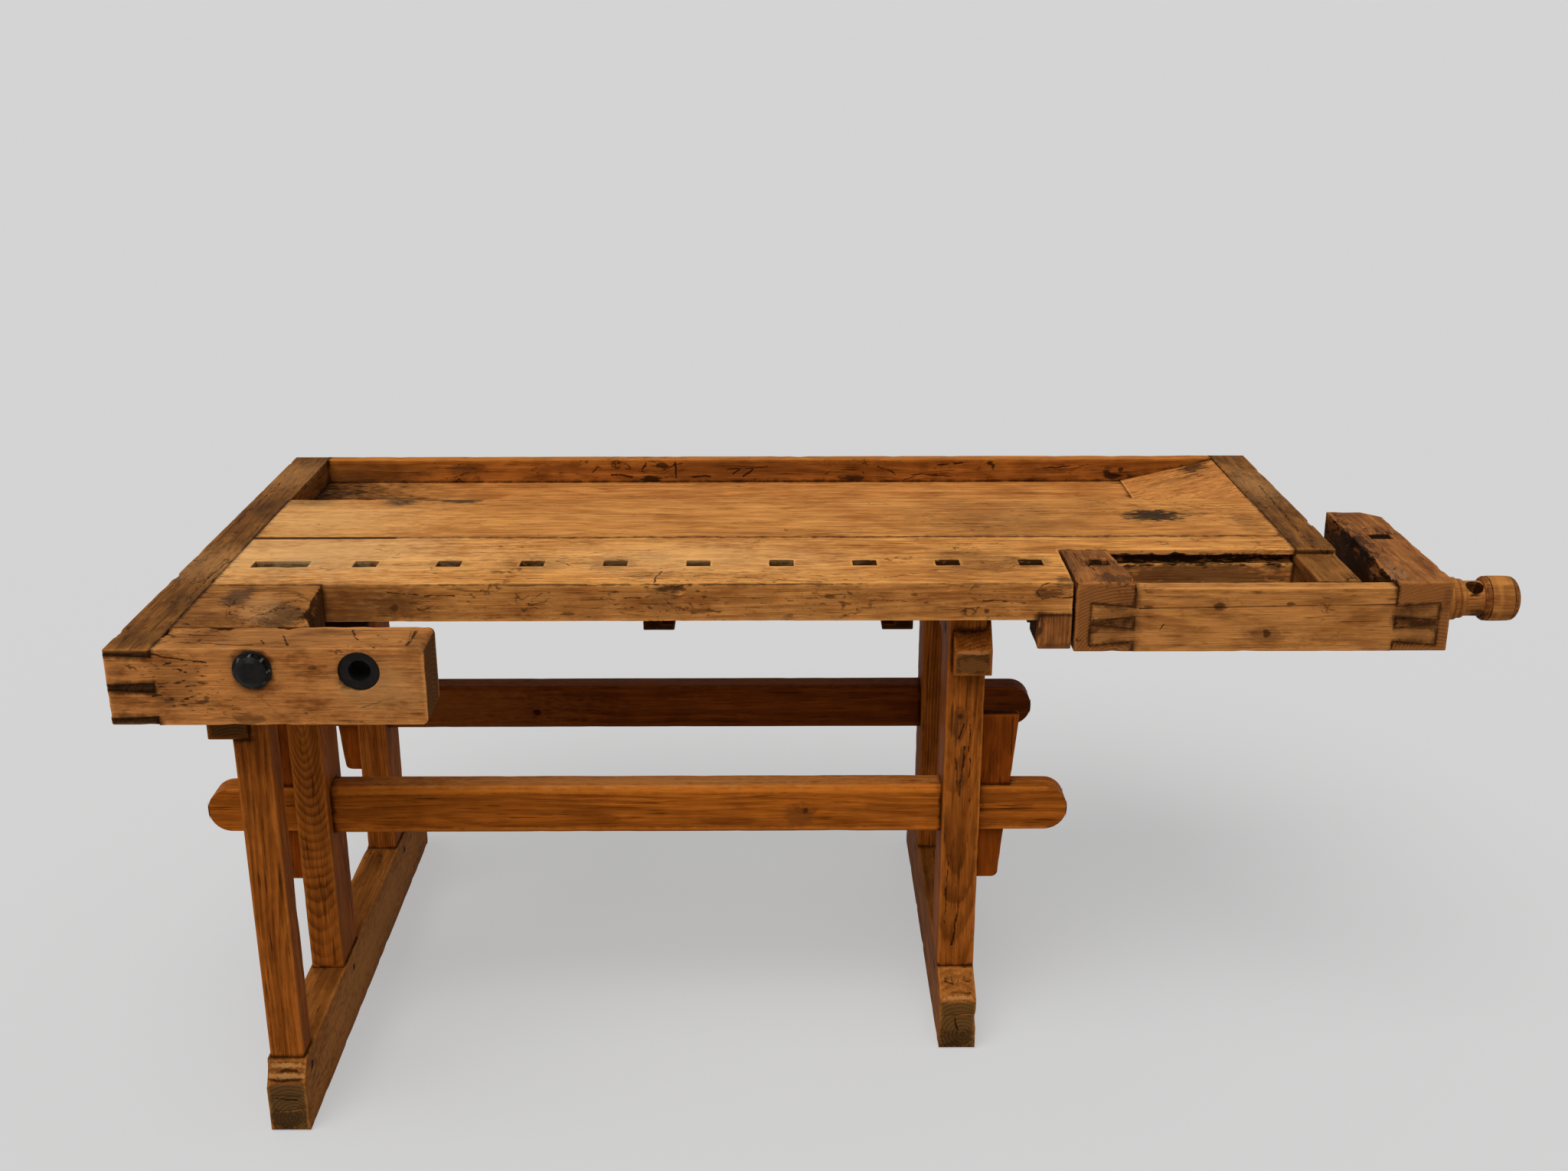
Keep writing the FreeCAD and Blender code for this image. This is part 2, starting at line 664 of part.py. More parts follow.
def right_end_cap(mates):
    across = (RIGHT_CAP, "top_length")
    cap = box("right_cap_blank", across, ("notch_back", "top_back"), (CAP_BOTTOM, "top_height"))
    nut_block = box(
        "nut_block_blank",
        across,
        ("nut_block_front", "notch_back"),
        (CAP_BOTTOM, "top_height - nut_block_drop"),
    )
    blank = fuse("right_cap_blank_whole", [cap, nut_block])
    tools = [*mates, guide_passage(), screw_bore("nut_bore", RIGHT_CAP, "top_length")]
    return keep(cut("right_end_cap", blank, tools), "right_end_cap")


def left_end_cap(mates):
    up = (CAP_BOTTOM, "top_height")
    blank = box("left_cap_blank", ("0", "cap_width"), ("-arm_front", "top_back"), up)
    return keep(cut("left_end_cap", blank, mates), "left_end_cap")


# ---------------------------------------------------------------- shoulder vise


def arm_blank():
    tails = tails_down("cap_width", "0", CAP_BOTTOM, "arm")
    points = [("arm_length", "top_height"), ("cap_width", "top_height"), *tails]
    points += [("cap_width", CAP_BOTTOM), ("arm_length", CAP_BOTTOM)]
    body = prism("arm_blank", "XZ", "-arm_front", points, "arm_thick")
    last = len(points) - 1
    round_edges(body, corner_edges(body, "XZ", [0, last]), "arm_end_round")
    return body


def bolt_bore():
    start = ("bolt_across", "(-arm_front - overcut)", "bolt_height")
    return rod("bolt_bore", start, "bolt_bore_radius", "arm_front + bolt_end + 2 * overcut", Z_TO_Y)


def tie_bolt():
    """The bolt with its washer and an eight-sided domed head, turned about its own axis."""
    head_end = "(bolt_washer_thick + bolt_head_height)"
    corner = ("bolt_across", "(-arm_front)", "bolt_height")
    shank = turned(
        "bolt_shank",
        [
            ("-bolt_washer_thick", "0"),
            ("-bolt_washer_thick", "bolt_washer_radius"),
            ("0", "bolt_washer_radius"),
            ("0", "bolt_radius"),
            ("arm_front + bolt_end", "bolt_radius"),
            ("arm_front + bolt_end", "0"),
        ],
        corner,
        X_TO_Y,
    )
    dome = turned(
        "bolt_dome",
        [
            (f"-{head_end}", "0"),
            (f"-{head_end}", "bolt_head_radius * 0.62"),
            (f"-{head_end} + bolt_head_height * 0.45", "bolt_head_radius"),
            ("-bolt_washer_thick", "bolt_head_radius"),
            ("-bolt_washer_thick", "0"),
        ],
        corner,
        X_TO_Y,
    )
    head_start = ("bolt_across", f"(-arm_front - {head_end})", "bolt_height")
    facets = whittled("bolt_facets", head_start, "bolt_head_radius", "bolt_head_height", Z_TO_Y)
    head = doc.addObject("Part::Common", "bolt_head")
    head.Base = dome
    head.Tool = facets
    return keep(fuse("tie_bolt", [shank, head]), "tie_bolt")


def tie_bolt_nut():
    half = "bolt_nut_size / 2"
    blank = box(
        "bolt_nut_blank",
        (f"bolt_across - {half}", f"bolt_across + {half}"),
        ("bolt_nut_front", "bolt_nut_front + bolt_nut_thick"),
        (f"bolt_height - {half}", f"bolt_height + {half}"),
    )
    start = ("bolt_across", "(bolt_nut_front - overcut)", "bolt_height")
    hole = rod("bolt_nut_hole", start, "bolt_bore_radius", "bolt_nut_thick + 2 * overcut", Z_TO_Y)
    return keep(cut("tie_bolt_nut", blank, [hole]), "tie_bolt_nut")


def nut_mortise():
    half = "nut_mortise_width / 2"
    return box(
        "nut_mortise",
        (f"bolt_across - {half}", f"bolt_across + {half}"),
        ("bolt_nut_front", "bolt_nut_front + nut_mortise_depth"),
        (f"{PLANK_BOTTOM} - overcut", f"bolt_height + {half}"),
    )


def vise_nut():
    flange = "vise_nut_sunk + vise_nut_flange_thick"
    points = [
        ("vise_nut_sunk", "vise_nut_bore"),
        ("vise_nut_sunk", "vise_nut_flange"),
        (flange, "vise_nut_flange"),
        (flange, "vise_nut_radius"),
        ("arm_thick", "vise_nut_radius"),
        ("arm_thick", "vise_nut_bore"),
    ]
    corner = ("vise_nut_across", "(-arm_front)", "vise_nut_height")
    return keep(turned("vise_nut", points, corner, X_TO_Y), "vise_nut")


def vise_nut_seat():
    """The stepped bore for the nut, with room round the flange and the sleeve."""
    flange = "vise_nut_sunk + vise_nut_flange_thick"
    points = [
        ("-overcut", "0"),
        ("-overcut", "vise_nut_flange + vise_nut_ease"),
        (flange, "vise_nut_flange + vise_nut_ease"),
        (flange, "vise_nut_radius + vise_nut_ease"),
        ("arm_thick + overcut", "vise_nut_radius + vise_nut_ease"),
        ("arm_thick + overcut", "0"),
    ]
    corner = ("vise_nut_across", "(-arm_front)", "vise_nut_height")
    return turned("vise_nut_seat", points, corner, X_TO_Y)


def spacer_block(bore):
    """The block behind the arm; its open side spreads out where it meets the arm."""
    points = [
        ("cap_width", "0"),
        ("cap_width", ARM_BACK),
        ("spacer_right + spacer_flare", ARM_BACK),
        ("spacer_right", f"{ARM_BACK} + spacer_flare_length"),
        ("spacer_right - spacer_draw", "0"),
    ]
    blank = prism("spacer_blank", "XY", CAP_BOTTOM, points, "cap_depth")
    return keep(cut("spacer_block", blank, [bore]), "spacer_block")


# ---------------------------------------------------------------- tail vise


def front_rail():
    """The rail in front of the tail vise, outlined from its upper left root."""
    top = "top_height - front_rail_top"
    left = tails_down("jaw_right", "jaw_right - front_tail_length", CAP_BOTTOM, "front")
    right = tails_down("end_block_left", "end_block_left + front_tail_length", CAP_BOTTOM, "front")
    points = [("jaw_right", top), *left, ("jaw_right", CAP_BOTTOM)]
    points += [("end_block_left", CAP_BOTTOM), *reversed(right), ("end_block_left", top)]
    return keep(prism("front_rail", "XZ", "0", points, "front_rail_thick"), "front_rail")


def jaw_tongue():
    ease = "jaw_tongue_ease"
    tongue = box(
        "jaw_tongue",
        ("jaw_left", "jaw_back_right"),
        ("jaw_back - jaw_tongue_sunk", f"notch_back + groove_depth - {ease}"),
        (f"top_height - groove_top - groove_height + {ease}", f"top_height - groove_top - {ease}"),
    )
    return keep(tongue, "jaw_tongue")


def jaw_block(rail, tongue):
    points = [
        ("jaw_left", "0"),
        ("jaw_right", "0"),
        ("jaw_right", "front_rail_thick"),
        ("jaw_back_right", "jaw_back"),
        ("jaw_left", "jaw_back"),
    ]
    blank = prism("jaw_blank", "XY", CAP_BOTTOM, points, "cap_depth")
    hole = dog_hole("jaw_dog_hole", "jaw_dog_middle")
    return keep(cut("jaw_block", blank, [rail, tongue, hole]), "jaw_block")


def guide_wedge():
    points = [
        ("key_left", "top_height - key_sunk"),
        ("key_left", CAP_BOTTOM),
        ("key_left + key_bottom_width", CAP_BOTTOM),
        ("key_left + key_top_width", "top_height - key_sunk"),
    ]
    return keep(prism("guide_wedge", "XZ", "key_front", points, "key_thick"), "guide_wedge")


def guide_bar(wedge):
    up = ("guide_bottom", "guide_bottom + guide_height")
    along = ("guide_front", "guide_front + guide_width")
    bar = box("guide_blank", ("guide_left", "end_block_left"), along, up)
    tenon = box(
        "guide_tenon",
        ("end_block_left", END_BLOCK_RIGHT),
        ("guide_front + guide_tenon_step", "guide_front + guide_width - guide_tenon_step"),
        up,
    )
    blank = fuse("guide_blank_whole", [bar, tenon])
    return keep(cut("guide_bar", blank, [wedge]), "guide_bar")


def garter_blank():
    return box(
        "garter_blank",
        ("garter_left + garter_ease", "garter_left + garter_width - garter_ease"),
        ("screw_row - garter_reach", "screw_row + garter_reach"),
        (CAP_BOTTOM, "screw_height + garter_top"),
    )


def garter_key(blank):
    """A fork that stands in the end block and straddles the groove of the screw."""
    inner = "(garter_radius + garter_ease)"
    start = ("garter_left", "screw_row", "screw_height")
    hollow = rod("garter_hollow", start, inner, "garter_width", Z_TO_X)
    mouth = box(
        "garter_mouth",
        ("garter_left", "garter_left + garter_width"),
        (f"screw_row - {inner}", f"screw_row + {inner}"),
        ("screw_height", "screw_height + garter_top + overcut"),
    )
    return keep(cut("garter_key", blank, [hollow, mouth]), "garter_key")


def end_block(rail, bar, wedge, key_blank):
    points = [
        ("end_block_left", "0"),
        (END_BLOCK_RIGHT, "0"),
        (END_BLOCK_RIGHT, "end_block_length - end_block_cut"),
        (f"{END_BLOCK_RIGHT} - end_block_cut", "end_block_length"),
        ("end_block_left", "end_block_length"),
    ]
    blank = prism("end_block_blank", "XY", CAP_BOTTOM, points, "cap_depth")
    mouth = box(
        "wedge_mouth",
        ("key_left", "key_left + key_top_width"),
        ("key_front", "key_front + key_thick"),
        ("top_height - 2 * key_sunk", "top_height + overcut"),
    )
    bore = screw_bore("end_block_bore", "end_block_left", END_BLOCK_RIGHT)
    return keep(cut("end_block", blank, [rail, bar, wedge, key_blank, mouth, bore]), "end_block")


def bead_points(start):
    """Grooves and two beads, each smaller than the one before, to the right of the collar."""
    points = []
    for index in (1, 2):
        left = f"{start} + {index - 1} * (bead_groove + bead_length)"
        outer = f"collar_radius - {index - 1} * bead_step"
        floor = f"{outer} - bead_step - bead_groove_depth"
        points += [(left, outer), (left, floor), (f"{left} + bead_groove", floor)]
        points += [(f"{left} + bead_groove", f"{outer} - bead_step")]
    end = f"{start} + 2 * (bead_groove + bead_length)"
    return points + [(end, "collar_radius - 2 * bead_step"), (end, "neck_radius")]


def vise_screw():
    collar = f"({END_BLOCK_RIGHT} + collar_gap)"
    garter_right = "garter_left + garter_width"
    points = [
        ("screw_tip", "0"),
        ("screw_tip", "screw_radius - 4"),
        ("screw_tip + 6", "screw_radius"),
        ("garter_left", "screw_radius"),
        ("garter_left", "garter_radius"),
        (garter_right, "garter_radius"),
        (garter_right, "screw_radius"),
        (collar, "screw_radius"),
        (collar, "collar_radius"),
        *bead_points(f"{collar} + collar_length"),
        ("head_left", "neck_radius"),
        ("head_left", "head_radius - head_shoulder"),
        ("head_left + head_shoulder", "head_radius"),
        (f"{HEAD_END} - head_round", "head_radius"),
        (f"{HEAD_END} - head_round * 0.3", "head_radius - head_round * 0.3"),
        (HEAD_END, "head_radius - head_round"),
        (HEAD_END, "0"),
    ]
    lean = FreeCAD.Rotation(FreeCAD.Vector(1, 0, 0), doc.dims.get("tommy_tilt"))
    body = turned("vise_screw", points, ("0", "screw_row", "screw_height"), lean)
    tommy_hole(body)
    return keep(body, "vise_screw")


def tommy_hole(body):
    """The hole for the tommy bar, square to the screw's axis and through its neck."""
    doc.recompute()
    solid = body.Shape.Volume
    sketch = new_sketch(body, "XY")
    rough = doc.dims.get("tommy_middle")
    sketch.addGeometry(Part.Circle(FreeCAD.Vector(rough, 0, 0), FreeCAD.Vector(0, 0, 1), 1))
    middle = sketch.addConstraint(Sketcher.Constraint("DistanceX", -1, 1, 0, 3, rough))
    sketch.addConstraint(Sketcher.Constraint("PointOnObject", 0, 3, -1))
    radius = sketch.addConstraint(Sketcher.Constraint("Radius", 0, 1))
    bind(sketch, f"Constraints[{middle}]", "tommy_middle")
    bind(sketch, f"Constraints[{radius}]", "tommy_radius")
    hole = body.newObject("PartDesign::Pocket", body.Name + "_tommy_hole")
    hole.Profile = sketch
    hole.Type = "ThroughAll"
    hole.SideType = "Symmetric"
    doc.recompute()
    if not body.Shape.Volume < solid:
        raise RuntimeError("the tommy-bar hole cut nothing")


# ---------------------------------------------------------------- trestles


def post_blank(name, trestle, width, front, depth, top):
    """A post with a tenon at its foot; trestle is the middle of the posts along the bench."""
    half = f"{width} / 2"
    shaft = box(
        name + "_shaft",
        (f"{trestle} - {half}", f"{trestle} + {half}"),
        (front, f"{front} + {depth}"),
        ("foot_height", top),
    )
    inset = "post_tenon_inset"
    tenon = box(
        name + "_tenon",
        (f"{trestle} - {half} + {inset}", f"{trestle} + {half} - {inset}"),
        (f"{front} + {inset}", f"{front} + {depth} - {inset}"),
        ("foot_height - post_tenon_length", "foot_height"),
    )
    return fuse(name + "_blank", [shaft, tenon])


def foot_blank(side, front, nose, slope):
    """A foot under its trestle; nose and slope shape its front end, the back end is alike on both."""
    back_slope = "right_slope"
    points = [
        (front, "0"),
        ("foot_back", "0"),
        ("foot_back", "right_nose"),
        (f"foot_back - {back_slope}", "foot_height"),
        (f"{front} + {slope}", "foot_height"),
        (front, nose),
    ]
    left = f"{side}_trestle - foot_width / 2"
    body = prism(f"{side}_foot_blank", "YZ", left, points, "foot_width")
    round_edges(body, corner_edges(body, "YZ", [2, 5]), "foot_round")
    round_edges(body, corner_edges(body, "YZ", [0, 1]), "foot_toe_round")
    return body


def left_bearer_blank():
    """The left top rail, stepped down in front to pass under the shoulder vise."""
    front = "-left_bearer_front"
    points = [
        (front, "bearer_bottom"),
        ("bearer_back", "bearer_bottom"),
        ("bearer_back", PLANK_BOTTOM),
        ("0", PLANK_BOTTOM),
        ("0", CAP_BOTTOM),
        (front, CAP_BOTTOM),
    ]
    return prism("left_bearer_blank", "YZ", "left_bearer_left", points, "bearer_width")


def right_bearer_blank():
    """The right top rail, with its front end sloped back under the plank."""
    points = [
        ("right_bearer_front", "bearer_bottom"),
        ("bearer_back", "bearer_bottom"),
        ("bearer_back", PLANK_BOTTOM),
        ("right_bearer_front + bearer_slope_run", PLANK_BOTTOM),
        ("right_bearer_front", f"{PLANK_BOTTOM} - bearer_slope_rise"),
    ]
    return prism("right_bearer_blank", "YZ", "right_bearer_left", points, "bearer_width")


def stretcher_blank(name, row):
    """A stretcher centred on its row, with a long round-ended tenon at each end."""
    middle = "(stretcher_bottom + stretcher_height / 2)"
    body = new_body(name)
    tenon = new_sketch(body, "XZ", row)
    low, high = (f"{middle} - tenon_height / 2", f"{middle} + tenon_height / 2")
    outline(tenon, [(TENON_LEFT, low), (TENON_RIGHT, low), (TENON_RIGHT, high), (TENON_LEFT, high)])
    pad(body, tenon, "XZ", "tenon_thick", centred=True)
    round_edges(body, corner_edges(body, "XZ", [0, 1, 2, 3]), "tenon_round")
    left = "left_trestle + left_post_width / 2"
    right = "right_trestle - right_post_width / 2"
    low, high = ("stretcher_bottom", "stretcher_bottom + stretcher_height")
    web = new_sketch(body, "XZ", row)
    outline(web, [(left, low), (right, low), (right, high), (left, high)])
    pad(body, web, "XZ", "stretcher_thick", centred=True)
    bevel_edges(body, long_edges(body), "stretcher_bevel")
    return body


def long_edges(body):
    """The four long outer edges of a stretcher between its posts."""
    doc.recompute()
    shape = body.Shape
    names = []
    for number, edge in enumerate(shape.Edges, start=1):
        runs_along = edge.BoundBox.YLength < 0.001 and edge.BoundBox.ZLength < 0.001
        y, z = (edge.BoundBox.YMin, edge.BoundBox.ZMin)
        is_outer = min(y - shape.BoundBox.YMin, shape.BoundBox.YMax - y) < 0.001
        is_end = min(z - shape.BoundBox.ZMin, shape.BoundBox.ZMax - z) < 0.001
        if runs_along and is_outer and is_end:
            names.append(f"Edge{number}")
    return names


def wedge(node, face, side, row, top, top_width):
    """A wedge outside a post's face; side is 1 to the right of it and -1 to the left."""
    outer = f"{face} + ({side})"
    points = [
        (face, "wedge_bottom"),
        (f"{outer} * wedge_bottom_width", "wedge_bottom"),
        (f"{outer} * {top_width}", top),
        (face, top),
    ]
    body = prism(node, "XZ", f"{row} - wedge_thick / 2", points, "wedge_thick")
    round_edges(body, corner_edges(body, "XZ", [1]), "wedge_round")
    return keep(body, node)


def wedge_draw(name, face, side, row):
    """The part of a wedge's slot inside the post, so that the wedge can draw the joint tight."""
    low, high = (face, f"{face} + wedge_draw")
    if side > 0:
        low, high = (f"{face} - wedge_draw", face)
    return box(
        name,
        (low, high),
        (f"{row} - wedge_thick / 2", f"{row} + wedge_thick / 2"),
        ("stretcher_bottom", "stretcher_bottom + stretcher_height"),
    )


def foot_peg(left, along):
    return whittled("peg", (left, along, "peg_height"), "peg_radius", "foot_width", Z_TO_X)


def lap_peg(left, along, height, length):
    return whittled("peg", (left, along, height), "lap_peg_radius", length, Z_TO_X)


def trestle_pegs():
    """Pegs through the feet and through the laps of the top rails."""
    pegs = []
    rows = {
        "front": "(-front_row + front_post_depth / 2)",
        "middle": "(middle_row + post_depth / 2)",
        "rear": "(rear_row + post_depth / 2)",
    }
    left_foot = "(left_trestle - foot_width / 2)"
    right_foot = "(right_trestle - foot_width / 2)"
    left_lap = "left_bearer_left"
    right_lap = "(right_trestle - right_post_width / 2)"
    left_lap_length = "left_trestle + left_post_width / 2 - left_bearer_left"
    right_lap_length = f"right_bearer_left + bearer_width - {right_lap}"
    for row, along in rows.items():
        lap_height = "front_lap_peg_height" if row == "front" else "lap_peg_height"
        pegs.append(foot_peg(left_foot, along))
        pegs.append(lap_peg(left_lap, along, lap_height, left_lap_length))
        if row != "front":
            pegs.append(foot_peg(right_foot, along))
            pegs.append(lap_peg(right_lap, along, lap_height, right_lap_length))
    group = doc.addObject("Part::Compound", "trestle_pegs")
    group.Links = pegs
    return keep(group, "trestle_pegs")


def build_stretchers():
    """Both stretchers with their wedges; returns the stretchers for the posts' mortises."""
    left_face = "(left_trestle - left_post_width / 2)"
    right_face = "(right_trestle + right_post_width / 2)"
    rows = {"front": "(middle_row + post_depth / 2)", "rear": "(rear_row + post_depth / 2)"}
    whole = ("wedge_top", "wedge_top_width")
    short_width = "(wedge_bottom_width + (wedge_top_width - wedge_bottom_width)"
    short_width += " * (short_wedge_top - wedge_bottom) / (wedge_top - wedge_bottom))"
    stretchers = []
    for name, row in rows.items():
        left = wedge(f"left_{name}_wedge", left_face, -1, row, *whole)
        right_size = ("short_wedge_top", short_width) if name == "rear" else whole
        right = wedge(f"right_{name}_wedge", right_face, 1, row, *right_size)
        draws = [
            wedge_draw(f"{name}_left_draw", left_face, -1, row),
            wedge_draw(f"{name}_right_draw", right_face, 1, row),
        ]
        node = f"{name}_stretcher"
        blank = stretcher_blank(node + "_blank", row)
        stretchers.append(keep(cut(node, blank, [left, right, *draws]), node))
    return stretchers


def build_trestles(dowels):
    pegs = trestle_pegs()
    stretchers = build_stretchers()
    left_bearer = left_bearer_blank()
    right_bearer = right_bearer_blank()
    posts = {
        "left_front_post": ("left", "-front_row", "front_post_depth", CAP_BOTTOM, []),
        "left_middle_post": ("left", "middle_row", "post_depth", PLANK_BOTTOM, [stretchers[0]]),
        "left_rear_post": ("left", "rear_row", "post_depth", PLANK_BOTTOM, [stretchers[1]]),
        "right_front_post": ("right", "middle_row", "post_depth", PLANK_BOTTOM, [stretchers[0]]),
        "right_rear_post": ("right", "rear_row", "post_depth", PLANK_BOTTOM, [stretchers[1]]),
    }
    bearers = {"left": left_bearer, "right": right_bearer}
    tenons = {"left": [], "right": []}
    for node, (side, front, depth, top, mates) in posts.items():
        blank = post_blank(node, f"{side}_trestle", f"{side}_post_width", f"({front})", depth, top)
        tenons[side].append(blank)
        keep(cut(node, blank, [bearers[side], pegs, *mates]), node)
    left_foot = foot_blank("left", "-left_foot_front", "left_nose", "left_slope")
    right_foot = foot_blank("right", "0", "right_nose", "right_slope")
    keep(cut("left_foot", left_foot, [*tenons["left"], pegs]), "left_foot")
    keep(cut("right_foot", right_foot, [*tenons["right"], pegs]), "right_foot")
    keep(cut("left_top_rail", left_bearer, [pegs, dowels]), "left_top_rail")
    keep(cut("right_top_rail", right_bearer, [pegs, dowels]), "right_top_rail")


# ---------------------------------------------------------------- assemblies


def build_top(dowels):
    holes = dog_row()
    bore = bolt_bore()
    end_jaw = end_jaw_block(holes)
    floor = tray_floor()
    rear_blank = rear_plank_blank()
    front_blank = front_plank_blank()
    front_tools = [*holes, long_slot(), jaw_groove(), bore, nut_mortise(), rear_blank]
    keep(cut("front_plank", front_blank, [*front_tools, end_jaw_housing()]), "front_plank")
    keep(cut("rear_plank", rear_blank, [floor, dowels]), "rear_plank")
    tray_ramp()
    rail_blank = back_rail_blank()
    keep(cut("back_rail", rail_blank, [floor]), "back_rail")
    locating_batten(holes)
    drawer_runner("left_drawer_runner", "runner_left", 1)
    drawer_runner("right_drawer_runner", "runner_right", -1)
    guide_bridge()
    arm = arm_blank()
    left_end_cap([front_blank, rear_blank, floor, rail_blank, arm])
    right_end_cap([front_blank, rear_blank, floor, rail_blank])
    keep(cut("vise_arm", arm, [bore, vise_nut_seat()]), "vise_arm")
    spacer_block(bore)
    tie_bolt()
    tie_bolt_nut()
    vise_nut()
    return end_jaw


def build_tail_vise():
    rail = front_rail()
    jaw_block(rail, jaw_tongue())
    wedge_piece = guide_wedge()
    bar = guide_bar(wedge_piece)
    key_blank = garter_blank()
    garter_key(key_blank)
    end_block(rail, bar, wedge_piece, key_blank)
    vise_screw()


def check(thing):
    failed = {"Invalid", "Error"} & set(thing.State)
    if failed:
        raise RuntimeError(f"{thing.Label}: {sorted(failed)}")


def export():
    doc.recompute()
    for thing in doc.Objects:
        check(thing)
    for thing in sub_parts:
        if thing.Shape.isNull() or not thing.Shape.isValid():
            raise RuntimeError(f"{thing.Label}: its shape is null or not valid")
    os.makedirs("parts", exist_ok=True)
    for thing in sub_parts:
        thing.Shape.exportStep(f"parts/{thing.Label}.step")
        print(thing.Label, len(thing.Shape.Solids), round(thing.Shape.Volume / 1000), "cm3")


fill_sheet()
dowels = locating_dowels()
build_top(dowels)
build_trestles(dowels)
build_tail_vise()
export()
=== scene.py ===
"""Worn pine, dark hardwood and blackened iron for the joiner's bench, on a pale studio floor."""

import itertools
import json
import math

import bmesh
import bpy
import numpy as np
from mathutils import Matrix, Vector, noise
from mathutils.bvhtree import BVHTree

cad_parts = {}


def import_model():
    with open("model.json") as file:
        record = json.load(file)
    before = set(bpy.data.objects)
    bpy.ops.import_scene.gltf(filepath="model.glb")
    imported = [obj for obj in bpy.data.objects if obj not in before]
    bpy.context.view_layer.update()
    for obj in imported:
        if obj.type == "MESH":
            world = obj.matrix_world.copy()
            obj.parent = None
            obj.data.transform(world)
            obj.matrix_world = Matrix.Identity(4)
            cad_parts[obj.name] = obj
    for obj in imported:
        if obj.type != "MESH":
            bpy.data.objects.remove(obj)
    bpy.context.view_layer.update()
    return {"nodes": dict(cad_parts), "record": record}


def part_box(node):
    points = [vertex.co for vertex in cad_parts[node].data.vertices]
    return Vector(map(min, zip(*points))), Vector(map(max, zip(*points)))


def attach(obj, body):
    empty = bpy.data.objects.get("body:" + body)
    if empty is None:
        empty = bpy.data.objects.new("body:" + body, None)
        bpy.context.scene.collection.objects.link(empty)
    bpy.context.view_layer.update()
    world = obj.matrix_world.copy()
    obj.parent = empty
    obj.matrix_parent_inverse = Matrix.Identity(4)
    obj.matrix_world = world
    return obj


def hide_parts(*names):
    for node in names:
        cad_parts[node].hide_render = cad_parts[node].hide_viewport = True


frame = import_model()
nodes = frame["nodes"]
body_of = {n: body for body, names in frame["record"]["behaviour"]["bodies"].items() for n in names}

MM = 0.001
DATUM = Vector((1025.5, 227, 0))
X, Y, Z = 0, 1, 2
TOP, FRONT, RIGHT = (0, 0, 1), (0, -1, 0), (1, 0, 0)


def at(x, y, z):
    """A place in the row frame, from millimetres right of the top's left end, behind its front edge and up."""
    return (Vector((x, y, z)) - DATUM) * MM


def unit(axis):
    vector = Vector((0, 0, 0))
    vector[axis] = 1
    return vector


def shade(red, green, blue):
    """A linear colour from its display values."""
    parts = [c / 255 for c in (red, green, blue)]
    return [c / 12.92 if c <= 0.04045 else ((c + 0.055) / 1.055) ** 2.4 for c in parts] + [1]


# --- shader graphs


